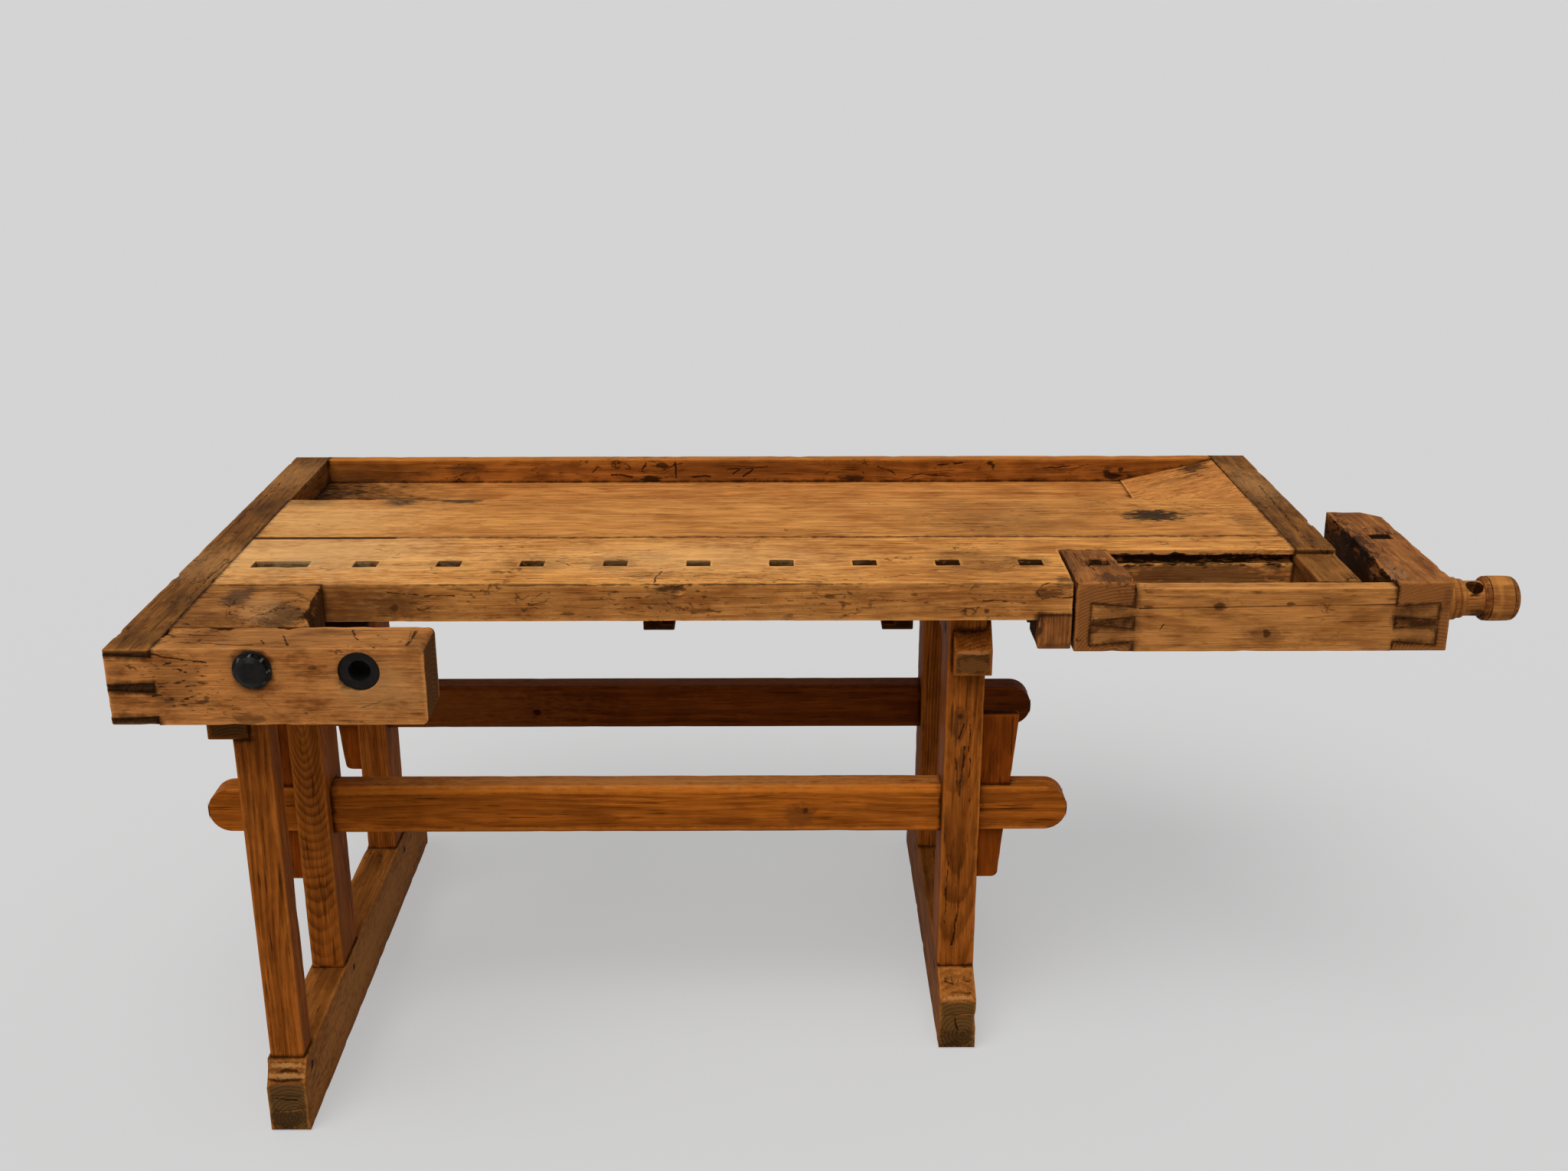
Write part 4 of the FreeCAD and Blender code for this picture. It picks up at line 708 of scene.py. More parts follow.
# painted shade, laid on the walls of the dog holes
HOLE_SHADE = (50, 25, 12)


def blot(tint, *manner):
    """A writer of stains of one colour, from centre, half sizes and strength."""
    return lambda x, y, z, w, d, h, strength: ((x, y, z), (w, d, h), strength, tint, *manner)


def soft(x, y, z, w, d, h, strength, tint):
    return (x, y, z), (w, d, h), strength, tint, "soft"


def on(axis, level):
    """A writer of cracks and grooves that lie in one face, from the other two coordinates of either end."""

    def place(a, b):
        spot = [a, b]
        spot.insert(axis, level)
        return tuple(spot)

    return lambda a, b, c, d, *rest: (place(a, b), place(c, d), *rest)


char, umber, soot, ink = (blot(tint) for tint in (CHAR, UMBER, SOOT, INK))
specks, shaded_hole = blot(CHAR, "specks"), blot(HOLE_SHADE, "shaded_walls")
top = on(Z, 820)
front, back, post, arm = (on(Y, level) for level in (0, 706, 62, -262))
TIMBER_SETTINGS = ("pith", "lean", "stains", "cracks", "knots")
seeds = itertools.count(1)


def board(name, kind, grain, **given):
    """Dresses one board; its seed is its place in the order of these calls."""
    seed = next(seeds)
    settings = {key: given.pop(key) for key in TIMBER_SETTINGS if key in given}
    worn(name, seed, wood(name, kind, grain, seed, **settings), **given)


board(
    "front_plank", PLANK, X, pith=(0.03, -0.14),
    chips=[((760, 1, 815), 18, 5), ((1329, 2, 806), 14, 2.5), ((1180, 2, 818), 14, 3), ((640, 2, 818), 12, 2.5),
        ((905, 2, 818), 10, 2.5)],
    grooves=[top(520, 24, 860, 14, TOP, 1.6, 2.2), front(742, 798, 768, 768, FRONT, 1.2, 2),
        front(905, 806, 1010, 808, FRONT, 1.2, 1.6), top(67, 226, 300, 226, TOP, 2.6, 8)],
    knots=[((338, 0, 783), 8), ((1230, 0, 775), 5)],
    # painted shade on the walls of the dog holes, the round ones and then the long slot
    stains=[*(shaded_hole(276 + 129 * k, 98, 790, 60, 50, 110, 0.95) for k in range(9)),
        # the umber at 1590 and the char at 1560: painted shade on the back wall of the tail vise's notch and in the
        # groove above it
        shaded_hole(145, 98, 790, 130, 50, 110, 0.95), umber(1590, 160, 775, 170, 3, 34, 0.7),
        char(1560, 168, 802.5, 420, 16, 13, 0.95), umber(145, 98, 820, 60, 26, 8, 0.55),
        umber(276, 98, 820, 34, 24, 8, 0.45), soft(180, 150, 820, 260, 150, 10, 0.45, (240, 194, 132)),
        # the soft patch at 285: painted shade on the front face, in the slot behind the arm beside the spacer block
        soft(760, 120, 820, 260, 90, 10, 0.35, (240, 190, 124)), soft(285, 0, 786, 120, 5, 50, 0.7, (92, 52, 26)),
        char(560, 0, 819, 190, 3, 3, 0.6), char(900, 0, 819, 150, 3, 3, 0.6), char(1220, 0, 819, 90, 3, 3, 0.5),
        specks(468, 0, 800, 26, 5, 12, 0.6), specks(364, 0, 787, 24, 5, 7, 0.7), char(800, 0, 776, 26, 4, 4, 0.5),
        char(992, 0, 799, 8, 4, 4, 0.6), char(932, 0, 768, 10, 4, 4, 0.5), char(1120, 0, 802, 7, 4, 4, 0.6),
        char(600, 0, 772, 12, 4, 4, 0.5), soft(760, 0, 786, 760, 4, 60, 0.2, (92, 52, 26)),
        specks(740, 0, 790, 120, 5, 40, 0.7), specks(1010, 0, 790, 150, 5, 30, 0.5),
        specks(1230, 0, 780, 90, 5, 34, 0.5), specks(520, 0, 780, 90, 5, 34, 0.4),
        specks(860, 30, 820, 260, 44, 8, 0.6), specks(600, 110, 820, 160, 60, 8, 0.45),
        specks(1240, 110, 820, 130, 90, 8, 0.45), umber(405, 98, 820, 34, 22, 8, 0.4),
        umber(535, 90, 820, 60, 40, 8, 0.3), umber(663, 98, 820, 40, 30, 8, 0.4),
        umber(1220, 110, 820, 90, 80, 10, 0.3), umber(1308, 98, 820, 40, 30, 8, 0.5),
        ink(755, 0, 812, 22, 8, 14, 0.75), umber(745, 0, 796, 30, 8, 26, 0.35), umber(1325, 0, 803, 26, 6, 9, 0.75),
        ink(1350, 10, 815, 20, 24, 10, 0.6), umber(350, 0, 786, 50, 6, 22, 0.3)],
    cracks=[top(56, 226, 292, 226.5, 9, "straight"), top(470, 20, 560, 26, 2), top(736, 60, 728, 4, 2),
        top(1060, 20, 1160, 60, 1.6), top(560, 120, 600, 80, 1.6), top(850, 30, 980, 8, 1.8),
        front(330, 806, 430, 800, 1.6), front(1210, 793, 1290, 789, 1.4), front(1359, 796, 1314, 795, 1.8),
        front(1314, 795, 1303, 804, 1.8), front(1303, 804, 1310, 816, 1.8), ((1310, 0, 816), (1326, 2, 820), 1.8)])
board(
    "rear_plank", PLANK_REAR, X, pith=(-0.02, -0.16), grooves=[top(1360, 380, 1700, 384, TOP, 1.4, 1.8)],
    stains=[soot(263, 428, 820, 34, 34, 10, 0.9), soot(318, 442, 820, 40, 9, 10, 0.7),
        ((366, 438, 820), (40, 20, 10), 0.9, (54, 42, 26)), ((1551, 341, 820), (58, 36, 10), 0.95, (46, 34, 22)),
        soot(1600, 348, 820, 50, 12, 8, 0.5), ink(100, 430, 820, 60, 30, 8, 0.5),
        soft(150, 330, 820, 200, 120, 10, 0.4, (236, 188, 122)), soft(1290, 320, 820, 170, 120, 10, 0.35, UMBER),
        soot(1700, 300, 820, 30, 60, 8, 0.35), specks(1560, 370, 820, 190, 90, 8, 0.55),
        specks(300, 430, 820, 150, 30, 8, 0.4), specks(1240, 300, 820, 150, 60, 8, 0.4)],
    cracks=[top(1225, 300, 1290, 290, 1.6), top(300, 300, 420, 306, 1.5), top(56, 227.5, 292, 227.5, 8, "straight"),
        top(740, 444.5, 1740, 444.5, 1.5, "straight"), top(1640, 300, 1730, 280, 1.6), top(1660, 330, 1735, 306, 1.6),
        top(1560, 400, 1700, 396, 1.6)])
board(
    "tray_floor", TRAY, X, pith=(0.02, -0.12), step=22,
    # the first two: painted shade in the tray's left corner, under the end cap's wall
    stains=[soft(60, 600, 775, 210, 220, 10, 0.95, CHAR), soft(90, 640, 775, 60, 60, 10, 0.5, CHAR),
        soot(330, 560, 775, 70, 12, 10, 0.5), soot(240, 600, 775, 60, 10, 10, 0.5)])
board(
    "tray_ramp", TRAY, X, pith=(0, -0.1), dirt=0.25,
    stains=[umber(1697, 690, 812, 30, 40, 20, 0.85), umber(1640, 640, 800, 80, 20, 20, 0.3),
        specks(1690, 660, 806, 60, 60, 20, 0.6)],
    cracks=[((1585, 660, 785), (1730, 700, 815), 1.8), ((1600, 600, 790), (1720, 610, 812), 1.6),
        ((1650, 660, 798), (1738, 668, 814), 2.2), ((1660, 690, 800), (1736, 698, 814), 2.4)])
board(
    "back_rail", BACK, X, pith=(0.1, -0.03), step=18,
    stains=[char(674, 706, 781, 24, 5, 8, 0.9), char(699, 706, 808, 14, 5, 6, 0.8),
        char(1556, 706, 786, 26, 5, 7, 0.9), char(1540, 706, 794, 8, 5, 5, 0.8), char(1566, 706, 798, 6, 5, 6, 0.8),
        umber(330, 706, 800, 50, 6, 12, 0.5), soft(860, 706, 800, 160, 6, 26, 0.3, UMBER),
        char(1053, 706, 782, 30, 5, 7, 0.75), soft(120, 706, 780, 120, 6, 30, 0.6, UMBER),
        char(1318, 706, 812, 7, 5, 5, 0.85), char(1324, 706, 805, 4, 5, 7, 0.8),
        specks(690, 706, 796, 70, 5, 22, 0.7), specks(1250, 706, 806, 90, 5, 12, 0.5),
        specks(1500, 706, 800, 80, 5, 16, 0.6)],
    cracks=[back(820, 800, 905, 806, 1.6), back(1160, 790, 1260, 786, 1.6), back(700, 800, 735, 812, 1.4),
        back(660, 802, 668, 812, 2.6), back(722, 812, 724, 784, 3), back(750, 786, 790, 787, 3.2),
        back(832, 792, 846, 800, 2.6), back(852, 786, 868, 800, 2.8), back(1219, 806, 1266, 812, 2.4),
        back(600, 790, 640, 786, 2.4), back(1400, 800, 1470, 806, 2)])
board(
    "left_end_cap", CAP, Y, pith=(0.02, -0.08), arris=3.2, chipping=1.1,
    chips=[((66, -126, 819), 13, 3.5), ((2, -200, 818), 16, 2.4), ((1, 40, 818), 16, 1.4)],
    grooves=[top(66, -100, 78, -165, TOP, 1.6, 2), top(40, 150, 30, 420, TOP, 1.4, 1.8)],
    stains=[umber(40, 700, 820, 50, 60, 10, 0.4), ink(30, -225, 820, 40, 34, 8, 0.35),
        soft(30, 100, 820, 60, 90, 10, 0.35, (186, 136, 84)), soft(40, 420, 820, 40, 80, 10, 0.45, INK),
        soft(30, 600, 820, 60, 100, 10, 0.3, (186, 136, 84)), soft(50, -60, 820, 30, 60, 10, 0.5, INK)],
    cracks=[top(12, 300, 20, 560, 1.8), top(50, -60, 58, 120, 1.8)])
board(
    "right_end_cap", CAP, Y, pith=(0.02, -0.08), arris=3, chipping=1,
    chips=[((1740, 430, 819), 14, 2.5), ((1802, 300, 818), 16, 3)],
    stains=[ink(1745, 360, 820, 14, 160, 10, 0.45), soft(1780, 200, 820, 40, 40, 10, 0.45, INK),
        soft(1775, 520, 820, 50, 120, 10, 0.3, (190, 140, 86))],
    cracks=[top(1770, 250, 1778, 520, 1.8)])
board(
    "vise_arm", ARM, X, pith=(-0.03, -0.12), arris=3.5, chipping=1.1,
    chips=[((140, -180, 819), 20, 4), ((420, -190, 818), 14, 3.5), ((230, -179, 819), 16, 3),
        ((324, -263, 768), 12, 3.2), ((70, -200, 819), 18, 3)],
    grooves=[top(404, -186, 412, -236, TOP, 1.8, 3), top(352, -238, 372, -262, TOP, 1.6, 2.4),
        arm(205, 752, 232, 722, FRONT, 1.3, 1.8)],
    stains=[umber(96, -262, 770, 44, 6, 44, 0.35), umber(80, -262, 742, 20, 6, 12, 0.4),
        umber(20, -262, 790, 20, 6, 12, 0.3), char(186, -262, 716, 24, 6, 10, 0.55),
        umber(201, -262, 790, 38, 6, 36, 0.35), umber(345, -262, 786, 42, 8, 38, 0.4),
        # the second: painted shade on the walls of the hole round the vise nut
        ((326, -261, 768), (12, 8, 10), 0.7, (70, 56, 42)), ((345, -252, 786), (31, 9, 31), 0.8, CHAR, "shaded_walls"),
        char(128, -262, 742, 13, 5, 4, 0.7), char(134, -262, 748, 4, 5, 5, 0.6),
        specks(100, -262, 768, 60, 5, 44, 0.8), specks(96, -262, 796, 44, 5, 16, 0.8),
        specks(150, -262, 738, 60, 5, 16, 0.5), soft(220, -220, 820, 300, 60, 6, 0.45, UMBER),
        specks(110, -215, 820, 60, 30, 6, 0.5), char(284, -262, 793, 8, 5, 4, 0.6),
        soft(380, -262, 760, 80, 6, 40, 0.4, (206, 152, 92)), umber(420, -240, 815, 20, 40, 20, 0.3),
        umber(300, -200, 820, 60, 14, 8, 0.3)],
    cracks=[top(414, -188, 410, -250, 3.4), top(232, -212, 248, -248, 2.4), top(196, -206, 214, -240, 2),
        top(324, -192, 338, -226, 2.6), top(364, -212, 380, -226, 2.4), arm(60, 815, 140, 800, 1.6),
        top(90, -235, 200, -246, 2.2), top(100, -205, 160, -212, 2.2), top(340, -255, 400, -252, 1.8)])
board(
    "spacer_block", SPACER, X, pith=(-0.01, -0.09), arris=4.5, chipping=1.6, step=9, wobble=1.1,
    chips=[((150, -168, 820), 34, 7), ((215, -160, 820), 38, 11), ((105, -172, 820), 24, 5), ((238, -60, 818), 26, 6),
        ((190, -110, 820), 24, 4), ((232, -120, 816), 28, 7), ((240, -20, 819), 18, 3.5)],
    grooves=[top(150, -172, 222, -40, TOP, 2.2, 3.5), top(110, -40, 135, -150, TOP, 1.8, 2.5)],
    stains=[((124, -52, 820), (26, 50, 12), 0.75, (62, 44, 34)), ((205, -130, 816), (34, 54, 16), 0.7, (70, 52, 36)),
        ((165, -100, 820), (30, 70, 14), 0.3, (190, 140, 92)), ink(250, -100, 780, 20, 70, 50, 0.5)],
    cracks=[top(80, -165, 150, -150, 2.2)])
board(
    "end_jaw_block", JAW, Z, pith=(0.06, -0.12),
    # the ink: painted shade on the block's left face, under the top
    stains=[ink(1312, 60, 740, 10, 90, 40, 0.8), umber(1345, 0, 716, 40, 6, 8, 0.5)])
for name in ("locating_batten", "left_drawer_runner", "right_drawer_runner", "guide_bridge"):
    board(name, UNDER, Y)
board(
    "left_foot", FOOT, Y, pith=(0, -0.03), arris=4, chipping=1.3,
    chips=[((136, -206, 100), 20, 3), ((190, -206, 30), 20, 3)],
    grooves=[((136, -209, 66), (190, -209, 62), FRONT, 1.8, 2.4), ((136, -209, 36), (190, -209, 40), FRONT, 1.6, 2),
        ((193, -120, 70), (193, 330, 64), RIGHT, 1.3, 1.6)],
    stains=[char(160, -209, 20, 40, 10, 20, 0.5), char(163, 300, 8, 40, 600, 12, 0.4),
        # the soft patch at 193: painted light on the foot's right side
        soft(193, 250, 60, 4, 500, 80, 0.6, (206, 142, 74)), ((163, -203, 96), (34, 8, 5), 0.6, (188, 136, 80)),
        ((163, -196, 110), (34, 8, 5), 0.6, (188, 136, 80)), soft(163, -209, 50, 40, 8, 46, 0.25, (58, 52, 40))],
    cracks=[((136, -206, 90), (190, -206, 91), 3.4), ((134, -200, 103), (178, -200, 102), 3.4),
        ((146, -209, 60), (176, -209, 56), 3)])
board("left_front_post", POST, Z, pith=(0.05, -0.09))
board("left_middle_post", MIDDLE_POST, Z, pith=(0, -0.012), lean=0.17)
board("left_rear_post", POST, Z, pith=(0.06, -0.05))
# painted shade on the rail's top, at the bottom of the long dog hole
board("left_top_rail", POST, Y, stains=[char(145, 98, 763, 90, 60, 14, 0.8)])
board(
    "right_foot", FOOT, Y, pith=(0.01, -0.03), arris=4, chipping=1.3,
    chips=[((1240, 2, 60), 16, 2.5), ((1184, 2, 24), 16, 2.5)], grooves=[front(1184, 64, 1236, 68, FRONT, 1.6, 2)],
    stains=[char(1210, 0, 20, 40, 10, 24, 0.5), char(1210, 360, 8, 40, 500, 12, 0.4),
        specks(1210, 26, 106, 26, 24, 10, 0.6), ((1210, 4, 95), (30, 6, 4), 0.6, (186, 130, 74))],
    cracks=[((1190, 34, 109), (1204, 30, 107), 2.4), ((1214, 36, 110), (1230, 32, 108), 2.2),
        ((1192, 14, 100), (1232, 12, 99), 2.4), front(1206, 60, 1210, 36, 2.2)])
board(
    "right_front_post", POST, Z, pith=(-0.012, 0.03), lean=0.05,
    grooves=[post(1196, 360, 1199, 620, FRONT, 1.3, 2.2), post(1214, 150, 1210, 330, FRONT, 1.2, 2)],
    stains=[umber(1203, 62, 560, 16, 6, 34, 0.45), umber(1206, 62, 470, 7, 6, 60, 0.5)], knots=[((1203, 62, 574), 6)],
    cracks=[post(1210, 560, 1202, 536, 2), post(1214, 520, 1205, 430, 3), post(1200, 500, 1204, 440, 2.2),
        post(1222, 420, 1220, 560, 1.4), post(1190, 200, 1192, 330, 1.4), post(1212, 250, 1202, 160, 2.6)])
board("right_rear_post", POST, Z, pith=(0.05, -0.06))
board(
    "right_top_rail", POST, Y, pith=(0.04, -0.16),
    # painted shade on the sloped upper face, under the top
    stains=[((1218, 70, 740), (44, 34, 34), 0.55, (50, 26, 12)),
        # a light line along the arris, partly wear and partly painted highlight, then a paler band of wood below it
        ((1218, 40, 691), (34, 6, 3.5), 0.75, (190, 128, 78)), ((1218, 40, 668), (40, 4, 14), 0.35, (150, 92, 44))])
board(
    "front_stretcher", STRETCHER, X, pith=(-0.06, -0.02), step=18, arris=3, chipping=0.5, knots=[((960, 84, 398), 7)],
    # the soft patch: painted highlight along the stretcher's top bevel
    stains=[umber(950, 84, 390, 34, 6, 20, 0.4), soft(690, 110, 441, 560, 30, 5, 0.55, (210, 146, 82))])
board(
    "rear_stretcher", SHADED_REAR_STRETCHER, X, pith=(-0.07, 0.01), step=18, arris=3, chipping=0.5,
    knots=[((465, 500, 391), 13)],
    stains=[soft(300, 500, 400, 260, 44, 60, 0.45, (160, 92, 40)),
        # the soft patch at 700: painted light, a paler top face
        soft(700, 520, 441, 620, 30, 5, 0.5, (150, 100, 56)), ((465, 500, 391), (17, 6, 15), 0.5, (128, 58, 24)),
        ((467, 500, 390), (9, 6, 7), 0.85, (24, 8, 4))])
for side in ("left_front", "left_rear", "right_front", "right_rear"):
    board(side + "_wedge", WEDGE, Z)
board("trestle_pegs", UNDER, Y, step=40, wobble=0)
board(
    "jaw_block", JAW, Y, pith=(0.02, -0.07), arris=3, chipping=1.2, joint=1,
    chips=[((1450, 6, 818), 16, 4), ((1368, 4, 818), 12, 3), ((1446, 90, 819), 12, 3)],
    # the first: painted shade on the walls of the jaw's dog hole
    stains=[shaded_hole(1411, 98, 790, 24, 34, 110, 0.9), ink(1425, 20, 818, 40, 26, 14, 0.6),
        ink(1411, 98, 820, 34, 26, 8, 0.6), umber(1440, 0, 780, 16, 8, 40, 0.3), ink(1368, 80, 820, 8, 90, 10, 0.5)],
    cracks=[top(1400, 60, 1380, 150, 1.8)])
board("jaw_tongue", UNDER, X)
board(
    "front_rail", RAIL, X, pith=(0.1, -0.02), joint=1.1, grooves=[front(1462, 778, 1846, 784, FRONT, 1.2, 2.6)],
    knots=[((1656, 0, 738), 9)],
    stains=[((1425, 0, 760), (50, 8, 70), 0.4, (96, 56, 30)), ((1890, 0, 760), (52, 8, 70), 0.4, (96, 62, 34)),
        umber(1656, 0, 736, 40, 6, 18, 0.35), umber(1880, 0, 780, 30, 6, 20, 0.3), char(1582, 0, 782, 12, 5, 6, 0.75),
        char(1688, 0, 784, 8, 5, 5, 0.7), char(1474, 0, 780, 8, 5, 4, 0.6)],
    cracks=[front(1460, 778, 1846, 784, 1.5, "straight"), front(1500, 752, 1484, 726, 1.2)])
board(
    "end_block", JAW, Y, pith=(0.02, -0.06), arris=3.2, chipping=1.4, joint=1,
    chips=[((1850, 200, 810), 22, 5), ((1849, 120, 810), 18, 4), ((1852, 300, 810), 20, 4), ((1930, 60, 810), 16, 3),
        ((1854, 40, 808), 30, 10), ((1854, 82, 806), 32, 12), ((1852, 112, 798), 20, 7)],
    grooves=[((1862, 40, 811), (1872, 190, 811), TOP, 1.6, 2.6)],
    # the first ink: painted shade on the block's left face, in the gap beside the end cap
    stains=[ink(1848, 170, 770, 7, 240, 70, 0.85), char(1853, 96, 788, 10, 26, 9, 0.8),
        char(1858, 40, 806, 8, 16, 8, 0.7), ink(1860, 200, 811, 26, 160, 12, 0.75),
        char(1908, 245, 811, 40, 40, 10, 0.8), umber(1890, 60, 811, 36, 60, 12, 0.35),
        umber(1925, 0, 790, 10, 10, 30, 0.3), ((1864, 66, 806), (20, 62, 22), 0.8, (150, 106, 70)),
        char(1856, 74, 798, 8, 44, 10, 0.8), specks(1868, 64, 804, 20, 56, 20, 0.8)],
    cracks=[((1880, 30, 811), (1900, 150, 811), 2)])
board("guide_bar", UNDER, X)
board("guide_wedge", UNDER, Z, stains=[char(1894, 224, 808, 30, 30, 20, 0.7)])
board("garter_key", UNDER, Z)


def dress_iron():
    black = iron("blackened_iron")
    worn("tie_bolt", 50, black, arris=1.3, joint=0.5, step=6.0, wobble=0.3, chipping=0.5, worn_reach=3.2)
    shaded_bore_iron = iron("iron_with_shaded_bore", shaded_bore=((345, -222, 786), (16.0, 400, 16.0)))
    worn("vise_nut", 51, shaded_bore_iron, arris=1.0, joint=0.5, step=6.0, wobble=0.25, chipping=0.2, worn_reach=3.6)
    dyed(nodes["tie_bolt_nut"], black)


# --- turned screw

SCREW_ROW, SCREW_HEIGHT = 85.0, 763.0
TIP, THREAD_END, SHOULDER, HEAD_END = 1500, 1884, 1930, 2063.95
THREAD_CREST, THREAD_ROOT, THREAD_LEAD = 23.5, 19.2, 12.0
TOMMY_STATION, TOMMY_LEAN, TOMMY_RADIUS = 1994.0, math.radians(28), 13.0
NECK_RADIUS, NECK_END, BAND_RADIUS = 28.4, 2009, 35.2
V_GROOVES = ((2016.2, 1), (2052.6, 1), (2062.6, 0.4))
# station and radius of the garter's groove, the collar, the beads, the neck and the head
PROFILE = (
    (1884, 23.5), (1884.2, 15.5), (1896.8, 15.5), (1897, 23.5), (1933.4, 23.5), (1933.5, 34.0),
    (1934.2, 35.4), (1936, 35.9), (1946, 35.9), (1947.2, 35.3), (1948.2, 34.7), (1949.2, 35.3),
    (1950.4, 35.9), (1957, 35.8), (1958.8, 35.0), (1959.6, 33.6), (1961.2, 31.6), (1962, 32.4),
    (1963.2, 33.4), (1965.4, 33.5), (1967, 33.3), (1968.6, 32.2), (1969.4, 30.6), (1971.2, 29.2),
    (1972, 29.9), (1973.2, 30.8), (1975.6, 31.0), (1977.6, 30.6), (1979.2, 29.4), (1980.4, 27.9),
    (1984, 27.6), (1990, 27.5), (1998, 27.6), (2004, 27.8), (2008, 27.9), (2008.1, 29.5),
    (2009.2, 31.6), (2011, 33.6), (2013.4, 34.8), (2015.2, 34.9), (2016.2, 34.1), (2017.2, 34.9),
    (2019, 35.3), (2030, 35.45), (2042, 35.3), (2050, 35.0), (2051.6, 34.8), (2052.6, 34.0),
    (2053.6, 34.5), (2056, 34.0), (2059, 32.0), (2061.4, 29.0), (2062.8, 26.5), (2063.4, 25.0),
    (2062.6, 23.8), (2063.2, 22.6), (2063.7, 16.0), (2063.9, 8.0),
)


def thread_radius(x, turn):
    """Radius of the wooden thread: flat crests, sloping flanks and a rounded root."""
    phase = ((x - TIP) / THREAD_LEAD - turn) % 1.0
    height = min(1.0, max(0.0, 2.6 * abs(phase - 0.5) - 0.12))
    fade = min(1.0, max(0.0, (THREAD_END - x) / 14.0)) * min(1.0, (x - TIP + 1.0) / 8.0)
    return THREAD_CREST - (THREAD_CREST - THREAD_ROOT) * (1 - height) * fade - (1.0 - min(1.0, (x - TIP) / 6)) * 4.0


def skin(bm, rings, name, tips=()):
    """Joins each ring of corners to the next, and closes the ends with a point each or with a flat face."""
    count = len(rings[0])
    for a, b in zip(rings, rings[1:]):
        for k in range(count):
            bm.faces.new((a[k], a[(k + 1) % count], b[(k + 1) % count], b[k]))
    for ring, place in zip((rings[0], rings[-1]), tips):
        tip = bm.verts.new(place)
        for k in range(count):
            bm.faces.new((ring[k], ring[(k + 1) % count], tip))
    if not tips:
        bm.faces.new(rings[0])
        bm.faces.new(rings[-1])
    bmesh.ops.recalc_face_normals(bm, faces=bm.faces)
    return mesh_of(bm, name)


def turned_screw():
    around = 72
    bm = bmesh.new()
    rings = []
    for x, radius in [(x, None) for x in np.arange(TIP, THREAD_END - 0.9, 2.0)] + list(PROFILE):
        ring = []
        for k in range(around):
            turn = k / around
            cosine, sine = math.cos(turn * math.tau), math.sin(turn * math.tau)
            r = thread_radius(x, turn) if radius is None else radius
            r -= 0.12 * (1 + noise.noise(Vector((x * 0.08, cosine * 2, sine * 2))))
            ring.append(bm.verts.new(at(x, SCREW_ROW + r * cosine, SCREW_HEIGHT + r * sine)))
        rings.append(ring)
    return skin(bm, rings, "screw_work", [at(x, SCREW_ROW, SCREW_HEIGHT) for x in (TIP, HEAD_END)])


def tommy_cutter():
    """A flared round bar along the tommy-bar hole."""
    bm = bmesh.new()
    around = 48
    axis = Vector((0, -math.sin(TOMMY_LEAN), math.cos(TOMMY_LEAN)))
    side = Vector((1, 0, 0))
    other = axis.cross(side)
    centre = at(TOMMY_STATION, SCREW_ROW, SCREW_HEIGHT)
    rings = []
    for reach, r in ((-40, 19.0), (-28.5, 14.4), (-25, TOMMY_RADIUS), (25, TOMMY_RADIUS), (28.5, 14.4), (40, 19.0)):
        ring = []
        for k in range(around):
            angle = math.tau * k / around
            spot = side * min(r, 13.9) * math.cos(angle) + other * r * math.sin(angle)
            ring.append(bm.verts.new(centre + (axis * reach + spot) * MM))
        rings.append(ring)
    return skin(bm, rings, "tommy_cutter")


def screw_grime_and_shade(place, r):
    """Painted shade in the tommy-bar hole, a lighter darkening round its neck, and dirt in the fine grooves of the
    head.
    """
    across = (place.y - SCREW_ROW) * math.cos(TOMMY_LEAN) + (place.z - SCREW_HEIGHT) * math.sin(TOMMY_LEAN)
    if math.hypot(place.x - TOMMY_STATION, across) < TOMMY_RADIUS + 0.4 and r < 27.2:
        return 1.0
    if SHOULDER < place.x < NECK_END and r < NECK_RADIUS:
        return 0.35
    return 0.9 if any(abs(place.x - x) < reach for x, reach in V_GROOVES) else 0.0


def dress_screw():
    blank = placed("screw_work", turned_screw())
    cutter = placed("tommy_cutter", tommy_cutter())
    modifier = blank.modifiers.new("tommy_hole", "BOOLEAN")
    modifier.operation = "DIFFERENCE"
    modifier.solver = "EXACT"
    modifier.object = cutter
    bm = applied(blank)
    bpy.data.objects.remove(cutter)
    wear = bm.verts.layers.float.new("wear")
    grime_and_shade = bm.verts.layers.float.new("grime_and_shade")
    for v in bm.verts:
        place = v.co / MM + DATUM
        r = math.hypot(place.y - SCREW_ROW, place.z - SCREW_HEIGHT)
        v[wear] = 1.0 if r > BAND_RADIUS and place.x > SHOULDER else 0.0
        v[grime_and_shade] = screw_grime_and_shade(place, r)
    piece = to_object(bm, "turned_vise_screw", 50)
    stains = [
        # the char at 1994 and the char at 2000: painted shade in the tommy-bar hole and under the neck
        char(1994, 68, 792, 13, 26, 22, 0.9), ((2012, 85, 763), (5, 60, 60), 0.6, (84, 34, 20)),
        ((2055, 85, 763), (4, 60, 60), 0.55, (60, 30, 20)), ((1970, 85, 763), (3, 60, 60), 0.45, (112, 50, 30)),
        char(2000, 60, 735, 14, 30, 26, 0.7)]
    stand_for(piece, "vise_screw", wood("vise_screw", TURNED, X, 60, pith=(0.004, 0.006), stains=stains))


# --- studio

BACKDROP = 0.658
FILL = 0.40
FLOOR_SHADE, FLOOR_BOUNCE, FLOOR_GLOW = 0.672, 0.42, 0.6
KEY_TOWARD, KEY_STRENGTH, KEY_SPREAD = (-0.20, -0.42, 0.885), 2.02, 50


def grey(level):
    return (level, level, level, 1)


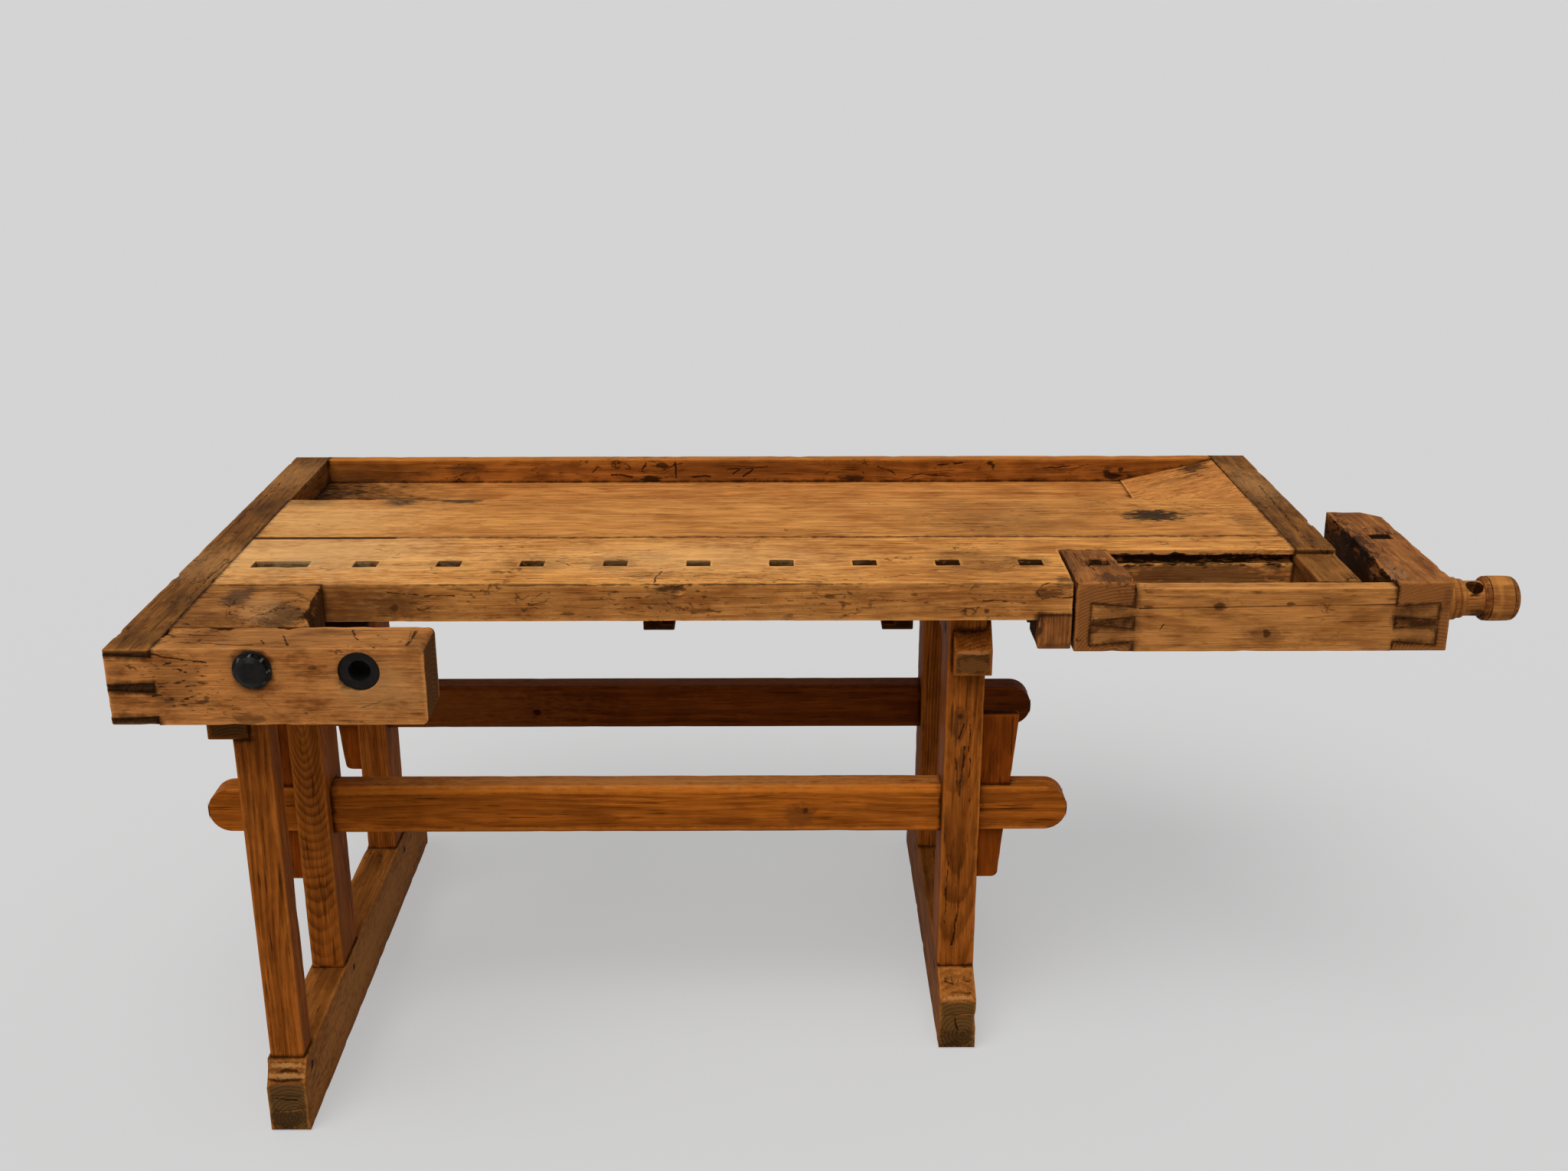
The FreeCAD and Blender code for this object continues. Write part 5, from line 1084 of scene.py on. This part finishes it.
def seen_directly(g):
    """1 for the rays that show the backdrop: to the camera, in a reflection or through glass."""
    rays = g.put("LightPath").node.outputs
    shown = g.math("MAXIMUM", rays["Is Camera Ray"], rays["Is Glossy Ray"])
    return g.math("MAXIMUM", shown, rays["Is Transmission Ray"])


def bare_graph(owner):
    g = Graph(owner)
    g.tree.nodes.clear()
    return g


def world():
    scene = bpy.context.scene
    scene.world = bpy.data.worlds.new("studio")
    g = bare_graph(scene.world)
    fill, seen = (g.put("Background", {"Color": grey(1), "Strength": level}) for level in (FILL, BACKDROP))
    g.put("OutputWorld", {0: g.put("MixShader", {0: seen_directly(g), 1: fill, 2: seen})})


def floor():
    reach = 60.0
    mesh = bpy.data.meshes.new("floor")
    mesh.from_pydata([(-reach, -reach, 0), (reach, -reach, 0), (reach, reach, 0), (-reach, reach, 0)], [],
                     [(0, 1, 2, 3)])
    g = bare_graph(bpy.data.materials.new("floor_paint"))
    shown, dim = (g.put("BsdfDiffuse", {"Color": grey(level)}) for level in (FLOOR_SHADE, FLOOR_BOUNCE))
    glow = g.put("Emission", {"Color": grey(BACKDROP)})
    lifted = g.put("MixShader", {0: FLOOR_GLOW, 1: shown, 2: glow})
    g.put("OutputMaterial", {0: g.put("MixShader", {0: seen_directly(g), 1: dim, 2: lifted})})
    mesh.materials.append(g.owner)
    piece = placed("floor", mesh)


def key_light():
    """A very broad far lamp."""
    lamp = bpy.data.lights.new("key", "SUN")
    lamp.energy = KEY_STRENGTH
    lamp.angle = math.radians(KEY_SPREAD)
    placed("key", lamp).rotation_euler = Vector(KEY_TOWARD).to_track_quat("Z", "Y").to_euler()


def camera():
    """Stands where the photograph was taken."""
    lens = bpy.data.cameras.new("camera")
    lens.sensor_fit = "HORIZONTAL"
    lens.sensor_width = 36.0
    lens.lens = 38.93
    lens.clip_start = 0.05
    lens.clip_end = 300.0
    piece = placed("camera", lens)
    piece.location = (-0.112865, -2.623168, 1.665352)
    piece.rotation_euler = [math.radians(a) for a in (70.4985366, 0.0390917, -0.2909299)]
    bpy.context.scene.camera = piece


dress_iron()
dress_screw()
dyed(nodes["locating_dowels"], wood("locating_dowels", UNDER, Z, 70))
world()
floor()
key_light()
camera()
bpy.context.scene.view_settings.view_transform = "Standard"
